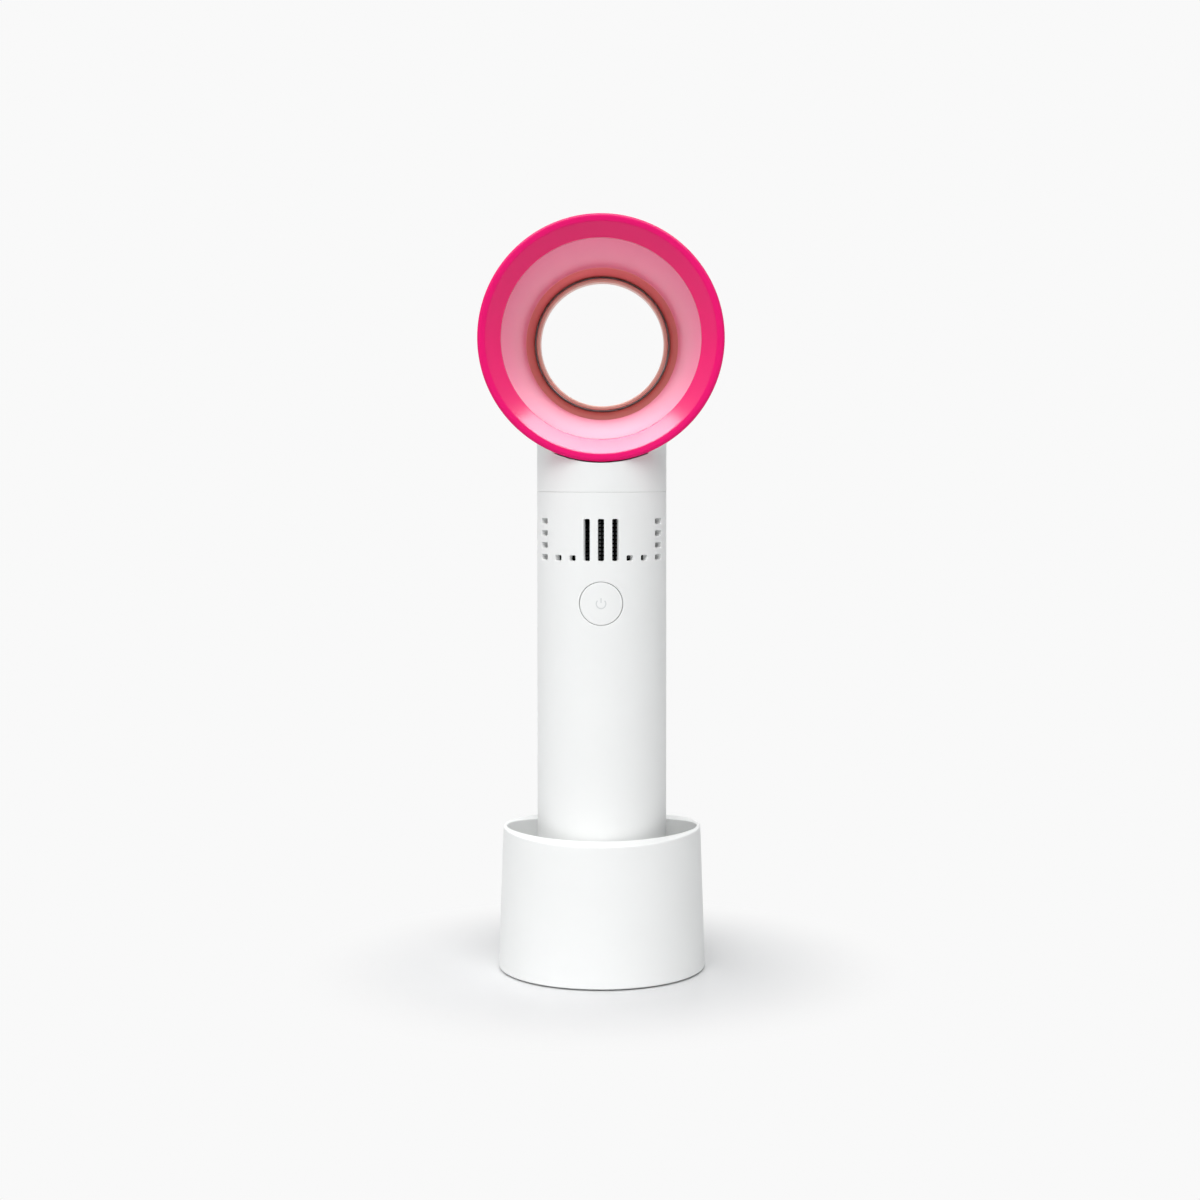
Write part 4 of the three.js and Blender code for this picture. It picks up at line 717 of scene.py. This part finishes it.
def screw_shells(node):
    """A screw in the place of a node, which points up from its head.

    The head is a dome on a grid of rings. A cross recess is pressed into it: the depth grows with
    how far a point lies inside the nearer of the two bars of the cross.
    """
    radius, head, shank, recess = 1.7 * MM, 1 * MM, 0.9 * MM, 0.55 * MM
    place = centre_of(node) + [0, 0, head]
    length = height_of(node) - head
    turn = turns(64)
    edge = 0.92  # where the dome begins to round off, as a share of the radius
    curve = np.sin(np.linspace(0.3, np.pi / 2, 5))
    share = np.concatenate([np.linspace(0, edge, 22), edge + (1 - edge) * curve])[:, None]
    x, y = np.abs(radius * share * np.sin(turn)), np.abs(radius * share * np.cos(turn))
    arm, width = 0.62 * radius, 0.17 * radius
    bar = np.maximum(np.minimum(width - x, arm - y), np.minimum(width - y, arm - x))
    dome = 0.25 * head * share**3 - head + recess * np.clip(bar / (0.5 * width), 0, 1)
    rest = np.array([
        (radius, -0.12 * head), (radius, 0),
        (shank, 0), (shank, length - shank),
        (0, length),
    ])
    rows = [about("Z", radius * share, turn, dome), swept(rest, turn)]
    return [skin(np.concatenate(rows), offset=place)]


def foot_shells(node):
    """A round rubber foot with a rounded lower edge and a shallow dish underneath."""
    radius, height, dish = radius_of(node), height_of(node), 0.15 * MM
    corners = [
        (0, dish, 0), (0.55 * radius, dish, CRISP),
        (0.7 * radius, 0, 0.15 * MM), (radius, 0, 0.25 * MM),
        (radius, height, CRISP), (0, height, 0),
    ]
    return [turned(rounded(corners), 64, centre=centre_of(node))]


def stepped_shells(node, radius, step, upper, edges, columns):
    """A round collar with a narrower stud on it, with an edge radius for each corner."""
    places = [(radius, 0), (radius, step), (upper, step), (upper, height_of(node))]
    corners = [(*place, edge) for place, edge in zip(places, edges)]
    outline = rounded([(0, 0, 0), *corners, (0, height_of(node), 0)])
    return [turned(outline, columns, centre=centre_of(node))]


def pin_shells(node):
    """A sprung contact pin: a collar, a shaft and a round tip."""
    edges = np.array([0.08, 0.08, 0.05, 0.45]) * MM
    return stepped_shells(node, radius_of(node), 0.8 * MM, 0.75 * MM, edges, 48)


def pad_shells(node):
    """A charge pad: a thin round disc with a stud."""
    edges = np.array([0.12, 0.1, 0.05, 0.1]) * MM
    return stepped_shells(node, radius_of(node), 0.6 * MM, 0.8 * MM, edges, 64)


def stadium_skin(half_width, half_height, profile, middle, columns):
    """A closed skin of long round sections that stand across Y, from (inset, place along Y) pairs.

    A section's point at angle t is (+-(half width - half height) + r cos t, r sin t), where r is
    the half height less the inset and the sign is that of cos t. The first and the last section
    have no height.
    """
    turn = (np.arange(columns) + 0.5) / columns * FULL_TURN
    radius = half_height - profile[:, :1]
    core = (half_width - half_height) * np.sign(np.cos(turn))
    points = together(core + radius * np.cos(turn), profile[:, 1:], radius * np.sin(turn))
    return skin(points, offset=middle)


def inlet_middle():
    """The middle of the charging inlet's mouth."""
    return np.array([0, 0, (low("charge_inlet")[2] + high("charge_inlet")[2]) / 2])


def inlet_shells():
    """The charging inlet's sheet metal shell: a cup with a rounded lip."""
    lowest, highest = low("charge_inlet"), high("charge_inlet")
    half = (highest - lowest) / 2
    sheet = 0.4 * MM
    inner_back = lowest[1] + sheet
    profile = rounded([
        (half[2], lowest[1], 0), (0, lowest[1], 2 * CRISP),
        (0, highest[1], 1.5 * CRISP), (sheet, highest[1], 1.5 * CRISP),
        (sheet, inner_back, CRISP), (half[2], inner_back, 0),
    ])
    return [stadium_skin(half[0], half[2], profile, inlet_middle(), 48)]


def bar_shell(half_width, half_height, start, end, middle):
    """A bar along Y with rounded ends and sides."""
    edge = 0.45 * half_height
    corners = [(half_height, start, 0), (0, start, edge), (0, end, edge), (half_height, end, 0)]
    return stadium_skin(half_width, half_height, rounded(corners, steps=3), middle, 16)


def tongue_shells():
    """The inlet's plastic tongue."""
    start, end = low("charge_inlet")[1] + 0.2 * MM, high("charge_inlet")[1] - 0.4 * MM
    return [bar_shell(1.9 * MM, 0.3 * MM, start, end, inlet_middle())]


def tongue_contact_shells():
    """Five gold contacts on each side of the tongue."""
    end = high("charge_inlet")[1] - 0.7 * MM
    start = end - 2.6 * MM
    return [
        bar_shell(0.16 * MM, 0.03 * MM, start, end, inlet_middle() + [x, 0, side * 0.31 * MM])
        for side in (-1, 1)
        for x in np.arange(-2, 3) * 0.6 * MM
    ]


# ------------------------------------------------------------------ finishes


class Value:
    """A socket of a shader tree. Arithmetic on it adds the Math nodes."""

    def __init__(self, tree, socket):
        self.tree = tree
        self.socket = socket

    def output(self, name):
        """Another output of the same node."""
        return Value(self.tree, self.socket.node.outputs[name])

    def __add__(self, other):
        return self.tree.maths("ADD", self, other)

    def __sub__(self, other):
        return self.tree.maths("SUBTRACT", self, other)

    def __rsub__(self, other):
        return self.tree.maths("SUBTRACT", other, self)

    def __mul__(self, other):
        return self.tree.maths("MULTIPLY", self, other)

    def __abs__(self):
        return self.tree.maths("ABSOLUTE", self)

    def maximum(self, other):
        return self.tree.maths("MAXIMUM", self, other)

    __radd__ = __add__
    __rmul__ = __mul__


def distance(a, b):
    """The distance from a line, from the two places across it."""
    return a.tree.maths("SQRT", a * a + b * b)


class Tree:
    """The shader tree of a material or a world, filled node by node."""

    def __init__(self, owner):
        owner.use_nodes = True
        self.nodes, self.links = owner.node_tree.nodes, owner.node_tree.links

    def feed(self, socket, value):
        """Links a value to a socket, or sets the socket to a number or a colour."""
        if isinstance(value, Value):
            self.links.new(value.socket, socket)
        else:
            socket.default_value = value

    def node(self, kind, settings=(), inputs=(), output=0):
        """Adds a node: its settings first, then a value or a link for each named socket."""
        made = self.nodes.new(kind)
        for key, value in dict(settings).items():
            setattr(made, key, value)
        for name, value in inputs.items() if isinstance(inputs, dict) else enumerate(inputs):
            self.feed(made.inputs[name], value)
        return Value(self, made.outputs[output])

    def maths(self, operation, *inputs):
        """A Math node."""
        return self.node("ShaderNodeMath", {"operation": operation}, inputs)

    def show(self, output, surface):
        """Links a surface to the output node of that name."""
        self.feed(self.nodes[output].inputs["Surface"], surface)


class Finish(Tree):
    """A material with its main shader."""

    def __init__(self, name):
        self.material = bpy.data.materials.new(name + FINISH_ENDING)
        super().__init__(self.material)
        self.shader = self.nodes["Principled BSDF"]
        self.place = self.node("ShaderNodeTexCoord", output="Object")

    def axes(self):
        """The place on the piece in metres, as three numbers."""
        x = self.node("ShaderNodeSeparateXYZ", (), (self.place,))
        return x, x.output("Y"), x.output("Z")

    def noise(self, scale, detail=2.0, vector=None):
        """Noise about a middle of 0.5."""
        inputs = {"Scale": scale, "Detail": detail, "Vector": vector or self.place}
        return self.node("ShaderNodeTexNoise", {"noise_dimensions": "3D"}, inputs)

    def blend(self, share, first, second):
        """A colour between two colours."""
        inputs = {0: share, 6: first, 7: second}
        return self.node("ShaderNodeMix", {"data_type": "RGBA"}, inputs, output=2)

    def tones(self, share, colour, darker, lighter):
        """A colour that varies between two tones of it."""
        return self.blend(share, shaded(colour, darker), shaded(colour, lighter))

    def between(self, value, start, end):
        """A smooth step from 0 to 1 as a value goes from start to end."""
        settings = {"interpolation_type": "SMOOTHSTEP"}
        return self.node("ShaderNodeMapRange", settings, {0: value, 1: start, 2: end})

    def bump(self, height, distance):
        """A normal from a height."""
        return self.node("ShaderNodeBump", (), {"Strength": 1.0, "Distance": distance, "Height": height})

    def set(self, **values):
        """Sets sockets of the main shader; a space in a socket's name is written as _."""
        for key, value in values.items():
            self.feed(self.shader.inputs[key.replace("_", " ")], value)


def shaded(colour, factor):
    """A colour as it looks on screen, made linear as a shader takes it, and lighter or darker."""
    c = np.array(colour[:3], float)
    c = np.where(c <= 0.04045, c / 12.92, ((c + 0.055) / 1.055) ** 2.4)
    return (*np.minimum(1, c * factor), 1.0)


def moulded(name, colour, roughness, grain=0.004 * MM, variation=0.02, sign=None, **more):
    """Moulded plastic: fine grain, slow changes of tone and gloss, and a power sign if it has a colour."""
    finish = Finish(name)
    slow, fine = finish.noise(45.0, 3.0), finish.noise(2600.0)
    base = finish.tones(slow, colour, 1 - variation, 1 + variation)
    if sign is not None:
        base = finish.blend(power_sign(finish), base, shaded(sign, 1))
    finish.set(
        Base_Color=base,
        Roughness=roughness + (slow - 0.5) * 0.10 + (fine - 0.5) * 0.06,
        IOR=1.46,
        Normal=finish.bump(fine, grain),
        **more,
    )


def power_sign(finish):
    """Where the faint generic power sign shows, on the button's face: an open ring and a bar."""
    x, y, z = finish.axes()
    side, up = abs(x), z - BUTTON_HEIGHT
    line, soft = 0.13 * MM, 0.06 * MM  # half a line's width, and how softly it ends
    ring_radius, gap, gap_top = 1.25 * MM, 0.42 * MM, 0.6 * MM
    bar_low, bar_high = 0.2 * MM, 1.45 * MM
    face_back, face_front = 1.0 * MM - HANDLE_RADIUS, 0.6 * MM - HANDLE_RADIUS
    ring = 1 - finish.between(abs(distance(x, up) - ring_radius), line, line + soft)
    ring = ring * finish.between(side + (gap_top - up) * 2.0, gap, gap + soft)
    bar = (1 - finish.between(side, line, line + soft)) * finish.between(up, bar_low, bar_low + soft)
    bar = bar * (1 - finish.between(up, bar_high, bar_high + soft))
    return ring.maximum(bar) * (1 - finish.between(y, face_front, face_back))


def glossy_rim(name, colour):
    """Coloured plastic whose flank has a clear coat and whose lip is satin."""
    finish = Finish(name)
    slow, fine = finish.noise(60.0), finish.noise(2200.0)
    x, _, z = finish.axes()
    lip = RING_RADIUS - LIP_WIDTH
    finish.set(
        Base_Color=finish.tones(slow, colour, 0.97, 1.03),
        Roughness=0.42 + (fine - 0.5) * 0.06,
        IOR=1.5,
        Specular_IOR_Level=0.1,
        Coat_Weight=1 - finish.between(distance(x, z - RING_HEIGHT), lip - 0.5 * MM, lip + 0.1 * MM),
        Coat_Roughness=0.21,
        Coat_IOR=1.36,
        Normal=finish.bump(fine, 0.003 * MM),
    )


def spun_metal(name, colour, roughness, metallic):
    """Anodised metal with the fine rings that turning leaves, about the head's own axis."""
    finish = Finish(name)
    across, depth, z = finish.axes()
    radius = distance(across, z - RING_HEIGHT)
    rings = finish.node("ShaderNodeCombineXYZ", (), (radius * 60.0, depth * 60.0, across * 0.6))
    lines, slow = finish.noise(90.0, 3.0, rings), finish.noise(120.0)
    finish.set(
        Base_Color=finish.tones(lines, colour, 0.88, 1.1),
        Metallic=metallic,
        Roughness=roughness + (lines - 0.5) * 0.16 + (slow - 0.5) * 0.05,
        Normal=finish.bump(lines, 0.006 * MM),
    )


def marked(name, colour, scale, darker, lighter, roughness, change, relief, **more):
    """A finish whose fine marks show in its tone, its gloss and its surface."""
    finish = Finish(name)
    marks = finish.noise(scale, 4.0)
    finish.set(
        Base_Color=finish.tones(marks, colour, darker, lighter),
        Roughness=roughness + (marks - 0.5) * change,
        Normal=finish.bump(marks, relief),
        **more,
    )


def plain_metal(name, colour, roughness):
    """Plated metal with faint scratches."""
    marked(name, colour, 900.0, 0.9, 1.06, roughness, 0.2, 0.004 * MM, Metallic=1.0)


def wrapped_cell(name, colour):
    """The battery's shrink wrap: glossy film with faint creases."""
    marked(name, colour, 260.0, 0.94, 1.06, 0.3, 0.12, 0.03 * MM, Coat_Weight=0.5)


def circuit_board(name, colour):
    """A circuit board: solder mask with traces that show through it, and small pads."""
    finish = Finish(name)
    pattern = {"feature": "DISTANCE_TO_EDGE", "distance": "CHEBYCHEV"}
    cells = finish.node("ShaderNodeTexVoronoi", pattern, {"Vector": finish.place, "Scale": 420.0})
    traces = 1 - finish.between(cells, 0.04, 0.09)
    finish.set(
        Base_Color=finish.tones(traces, colour, 0.9, 1.5),
        Roughness=0.38 + (finish.noise(200.0) - 0.5) * 0.1,
        Coat_Weight=0.4,
        Normal=finish.bump(traces, 0.03 * MM),
    )


def make_finishes(looks):
    """Makes every finish of the object, named for its slot."""
    shell_colour, dull = looks.shell_colour, {"Specular_IOR_Level": 0.1}
    funnel_gloss = {"Coat_Weight": 0.32, "Coat_Roughness": 0.36, "Coat_IOR": 1.5}
    moulded("white_shell", shell_colour, looks.shell_roughness, **dull)
    moulded("power_face", shell_colour, 0.36, variation=0.015, sign=looks.sign_colour, **dull)
    glossy_rim("magenta_rim", looks.rim_colour)
    moulded("pale_pink_funnel", looks.funnel_colour, 0.4, **funnel_gloss)
    spun_metal("copper_ring", looks.nozzle_colour, 0.32, 0.9)
    spun_metal("tan_copper_ring", looks.throat_colour, 0.3, 0.25)
    moulded("screen_black", (0.02, 0.019, 0.02), 0.7, 0.01 * MM, **dull)
    moulded("duct_white", (0.82, 0.82, 0.81), 0.42)
    moulded("inner_grey", (0.56, 0.57, 0.58), 0.5, 0.01 * MM)
    moulded("black_plastic", (0.06, 0.06, 0.065), 0.5, 0.01 * MM)
    moulded("foot_rubber", (0.36, 0.37, 0.37), 0.82, 0.02 * MM)
    moulded("red_lead", (0.70, 0.10, 0.10), 0.42)
    moulded("black_lead", (0.08, 0.08, 0.085), 0.42)
    circuit_board("circuit_board", (0.10, 0.40, 0.25))
    plain_metal("steel", (0.76, 0.77, 0.78), 0.3)
    plain_metal("gold_contact", (0.90, 0.72, 0.36), 0.24)
    wrapped_cell("cell_wrap", (0.16, 0.50, 0.75))


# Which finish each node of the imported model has, where no finer piece stands for it.
NODE_FINISHES = {
    "white_shell": "base_plate bottom_cap",
    "duct_white": "impeller_duct",
    "inner_grey": "battery_carrier motor_mount impeller",
    "black_plastic": "contact_pin_block motor_end_cap switch_plunger",
    "circuit_board": "dock_board control_board",
    "steel": "battery_spring_contact battery_top_contact switch_body motor_can motor_shaft "
    "board_screw_1 board_screw_2 motor_screw_1 motor_screw_2",
    "cell_wrap": "battery_cell",
    "red_lead": "motor_lead_left",
    "black_lead": "motor_lead_right",
}


def finish_named(name):
    """A finish that was made before."""
    return bpy.data.materials[name + FINISH_ENDING]


# ------------------------------------------------------------------ settings


def number(name, description, default, **more):
    """A number that a user can change."""
    return FloatProperty(name=name, description=description, default=default, **more)


def length(name, description, default):
    """A length in metres."""
    return number(name, description, default, min=0, unit="LENGTH")


def colour(name, description, default):
    """A colour, as it looks on screen."""
    return FloatVectorProperty(
        name=name, description=description, default=default, size=3, min=0, max=1, subtype="COLOR_GAMMA"
    )


class FanSizes(bpy.types.PropertyGroup):
    """Sizes of the fine surfaces."""

    rim_radius: length("Base rim", "Radius of the base at its rim", 26.8 * MM)
    saddle_dip: length("Saddle dip", "How much lower the base's rim is in front", 1.3 * MM)
    seam_edge: length("Seam edge", "Edge radius at the seam under the head", 0.09 * MM)
    neck_fillet: length("Neck fillet", "Fillet between the neck and the ring", 1.2 * MM)
    lip_width: length("Lip width", "Width of the rim's flat lip", LIP_WIDTH)
    lip_edge: length("Lip edge", "Edge radius between the lip and the flank", 0.8 * MM)
    vent_edge: length("Vent edge", "Edge radius of the vents", 0.12 * MM)
    vent_roundness: number("Vent roundness", "Roundness of the vents' ends", 0.45, min=0.1, max=1)
    button_edge: length("Button edge", "Edge radius of the power button and its hole", 0.15 * MM)


class FanLooks(bpy.types.PropertyGroup):
    """Colours and gloss of what shows."""

    shell_colour: colour("Shell", "White plastic of the base, handle and head", (0.965, 0.969, 0.966))
    shell_roughness: number("Shell roughness", "Gloss of the white plastic", 0.42, min=0, max=1)
    rim_colour: colour("Rim", "Magenta front rim", (0.945, 0.085, 0.45))
    funnel_colour: colour("Funnel", "Pale pink air funnel", (0.985, 0.575, 0.715))
    nozzle_colour: colour("Nozzle", "Copper nozzle ring", (0.86, 0.62, 0.58))
    throat_colour: colour("Throat", "Tan throat ring", (0.86, 0.69, 0.62))
    sign_colour: colour("Power sign", "Faint sign on the power button", (0.86, 0.87, 0.87))


class StageSettings(bpy.types.PropertyGroup):
    """Camera and lights."""

    lens: number("Lens", "Focal length in millimetres", 61.0, min=10)
    camera_place: FloatVectorProperty(
        name="Camera", description="Place of the camera", default=(0.0067, -0.551, 0.1363), unit="LENGTH"
    )
    shift: FloatVectorProperty(
        name="Shift", description="Shift of the lens", default=(-0.0221, -0.04), size=2
    )
    tilt: number("Tilt", "How far the camera looks down", math.radians(2.41), unit="ROTATION")
    background: number("Background", "Brightness of the background", 0.947, min=0, max=1)
    front: number("Front light", "Strength of the soft light in front", 2.06, min=0)
    side: number("Side light", "Strength of the soft light at the left", 0.65, min=0)
    back: number("Softbox", "Power of the softbox behind the left", 2.7, min=0, unit="POWER")
    sheen: number("Sheen box", "Power of the wide box that only gloss shows", 63, min=0, unit="POWER")
    back_sheen: number("Back sheen box", "Power of its fellow at the back", 13.23, min=0, unit="POWER")
    ambient: number("Ambient", "Light from all around", 0.2, min=0)


# ------------------------------------------------------------------ operators


class FAN_OT_finishes(bpy.types.Operator):
    """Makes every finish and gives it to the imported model's nodes"""

    bl_idname = "fan.finishes"
    bl_label = "Finishes"

    def execute(self, context):
        make_finishes(context.scene.fan_looks)
        for name, nodes in NODE_FINISHES.items():
            for node in nodes.split():
                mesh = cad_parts[node].data
                mesh.materials.clear()
                mesh.materials.append(finish_named(name))
        return {"FINISHED"}


class FAN_OT_base(bpy.types.Operator):
    """Makes the charging base's shell, feet, screws, contact pins and inlet"""

    bl_idname = "fan.base"
    bl_label = "Charging base"

    def execute(self, context):
        shells = base_shells(context.scene.fan_sizes)
        make_piece("base_body", shells, "base", "white_shell", "base_shell")
        for i in range(1, 5):
            foot, screw = f"rubber_foot_{i}", f"base_screw_{i}"
            make_piece(f"foot_{i}", foot_shells(foot), "base", "foot_rubber", foot)
            make_piece(f"base_cross_screw_{i}", screw_shells(screw), "base", "steel", screw)
        for side in ("left", "right"):
            pin = f"contact_pin_{side}"
            make_piece(f"sprung_pin_{side}", pin_shells(pin), pin, "gold_contact", pin)
        make_piece("inlet_shell", inlet_shells(), "base", "steel", "charge_inlet")
        make_piece("inlet_tongue", tongue_shells(), "base", "black_plastic")
        make_piece("inlet_contacts", tongue_contact_shells(), "base", "gold_contact")
        return {"FINISHED"}


class FAN_OT_handle(bpy.types.Operator):
    """Makes the handle's tube, its intake screen, its charge pads and the cap's screws"""

    bl_idname = "fan.handle"
    bl_label = "Handle"

    def execute(self, context):
        size = context.scene.fan_sizes
        make_piece("handle_body", handle_shells(size), "fan", "white_shell", "handle_tube")
        make_piece("intake_mesh", screen_shells(), "fan", "screen_black", "intake_screen")
        for side in ("left", "right"):
            pad = f"charge_pad_{side}"
            make_piece(f"charge_contact_{side}", pad_shells(pad), "fan", "gold_contact", pad)
        for i in (1, 2):
            screw = f"cap_screw_{i}"
            make_piece(f"cap_cross_screw_{i}", screw_shells(screw), "fan", "steel", screw)
        return {"FINISHED"}


class FAN_OT_head(bpy.types.Operator):
    """Makes the head's casing and neck and its coloured rings"""

    bl_idname = "fan.head"
    bl_label = "Head"

    def execute(self, context):
        size = context.scene.fan_sizes
        make_piece("head_casing", head_shells(size), "fan", "white_shell", "head_shell")
        make_piece("magenta_lip", rim_shells(size), "fan", "magenta_rim", "front_rim")
        make_piece("pink_funnel", funnel_shells(), "fan", "pale_pink_funnel", "air_funnel")
        make_piece("copper_nozzle", nozzle_shells(), "fan", "copper_ring", "nozzle_ring")
        make_piece("copper_throat", throat_shells(), "fan", "tan_copper_ring", "throat_ring")
        return {"FINISHED"}


class FAN_OT_button(bpy.types.Operator):
    """Makes the power button"""

    bl_idname = "fan.button"
    bl_label = "Power button"

    def execute(self, context):
        shells = button_shells(context.scene.fan_sizes)
        make_piece("power_key", shells, "power_button", "white_shell", "power_button", finish="power_face")
        return {"FINISHED"}


def make_floor(background):
    """A pale floor that shows its own shading near the object and the plain background further out."""
    finish = Finish("floor")
    x, y, _ = finish.axes()
    finish.set(
        Base_Color=finish.blend(finish.noise(8.0), (0.75, 0.755, 0.76, 1), (0.76, 0.765, 0.77, 1)),
        Roughness=0.32,
        Specular_IOR_Level=0.12,
    )
    far = finish.between(distance(x, y), 30 * MM, 85 * MM)
    camera = finish.node("ShaderNodeLightPath")
    shown = camera.maximum(camera.output("Is Glossy Ray"))
    light = finish.node("ShaderNodeEmission", (), {"Color": (background,) * 3 + (1,), "Strength": 1.0})
    body = Value(finish, finish.shader.outputs[0])
    finish.show("Material Output", finish.node("ShaderNodeMixShader", (), (far * shown, body, light)))
    mesh = bpy.data.meshes.new("floor")
    reach = 6.0
    corners = [(-reach, -reach, 0), (reach, -reach, 0), (reach, reach, 0), (-reach, reach, 0)]
    mesh.from_pydata(corners, [], [(0, 1, 2, 3)])
    mesh.materials.append(finish.material)
    placed("floor", mesh)


def make_world(ambient, background):
    """Even light from all around; the camera and reflections see the pale background."""
    world = bpy.data.worlds.new("studio")
    bpy.context.scene.world = world
    tree = Tree(world)
    camera = tree.node("ShaderNodeLightPath")
    seen = camera.maximum(camera.output("Is Transmission Ray")).maximum(camera.output("Is Glossy Ray"))
    dim, plain = (
        tree.node("ShaderNodeBackground", (), {"Color": (*tint, 1), "Strength": strength})
        for tint, strength in (((0.97, 0.985, 1.0), ambient), ((background,) * 3, 1.0))
    )
    tree.show("World Output", tree.node("ShaderNodeMixShader", (), (seen, dim, plain)))


def make_lamp(name, kind, turn, height, hidden_from, **settings):
    """A lamp that shines at the object from a turn and a height, both in degrees.

    It stands 1.2 m away and is hidden from the diffuse or the glossy light.
    """
    lamp = bpy.data.lights.new(name, kind)
    for key, value in settings.items():
        setattr(lamp, key, value)
    holder = placed(name, lamp)
    a, e = math.radians(turn), math.radians(height)
    distance, aim = 1.2, 0.1
    holder.location = (
        distance * math.sin(a) * math.cos(e),
        -distance * math.cos(a) * math.cos(e),
        distance * math.sin(e) + aim,
    )
    holder.rotation_euler = (math.pi / 2 - e, 0, a)
    setattr(holder, "visible_" + hidden_from, False)


def make_camera(stage):
    """The camera of the photograph's view."""
    camera = bpy.data.cameras.new("camera")
    camera.sensor_width = 36
    camera.lens = stage.lens
    camera.shift_x, camera.shift_y = stage.shift
    holder = placed("camera", camera)
    holder.location = stage.camera_place
    holder.rotation_euler = (math.pi / 2 - stage.tilt, 0, 0)
    bpy.context.scene.camera = holder


class FAN_OT_stage(bpy.types.Operator):
    """Makes the floor, the lights and the camera"""

    bl_idname = "fan.stage"
    bl_label = "Stage"

    def execute(self, context):
        stage = context.scene.fan_stage
        make_floor(stage.background)
        make_world(stage.ambient, stage.background)
        spread = math.radians(50)
        make_lamp("front", "SUN", 3, 50, "glossy", energy=stage.front, angle=spread)
        make_lamp("side", "SUN", -60, 40, "glossy", energy=stage.side, angle=spread)
        make_lamp("back", "AREA", -125, 57, "glossy", energy=stage.back, size=0.6)
        strip = {"shape": "RECTANGLE", "size_y": 0.5}
        make_lamp("top_sheen", "AREA", 0, 79, "diffuse", energy=stage.sheen, size=1.95, **strip)
        make_lamp("back_sheen", "AREA", 180, 50, "diffuse", energy=stage.back_sheen, size=2.4, **strip)
        make_camera(stage)
        context.scene.view_settings.view_transform = "Standard"
        return {"FINISHED"}


GROUPS = {"fan_sizes": FanSizes, "fan_looks": FanLooks, "fan_stage": StageSettings}
STEPS = (FAN_OT_finishes, FAN_OT_base, FAN_OT_handle, FAN_OT_head, FAN_OT_button, FAN_OT_stage)


class FAN_PT_panel(bpy.types.Panel):
    """Lists the sizes, the looks and the steps"""

    bl_idname = "FAN_PT_panel"
    bl_label = "Hand Fan"
    bl_space_type = "VIEW_3D"
    bl_region_type = "UI"
    bl_category = "Hand Fan"

    def draw(self, context):
        for place, group in GROUPS.items():
            for name in group.__annotations__:
                self.layout.prop(getattr(context.scene, place), name)
        for step in STEPS:
            self.layout.operator(step.bl_idname)


CLASSES = (*GROUPS.values(), *STEPS, FAN_PT_panel)


def register():
    for made in CLASSES:
        bpy.utils.register_class(made)
    for place, group in GROUPS.items():
        setattr(bpy.types.Scene, place, PointerProperty(type=group))


def unregister():
    for place in GROUPS:
        delattr(bpy.types.Scene, place)
    for made in reversed(CLASSES):
        bpy.utils.unregister_class(made)


def main():
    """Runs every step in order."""
    register()
    bpy.ops.fan.finishes()
    bpy.ops.fan.base()
    bpy.ops.fan.handle()
    bpy.ops.fan.head()
    bpy.ops.fan.button()
    bpy.ops.fan.stage()


if __name__ == "__main__":
    main()
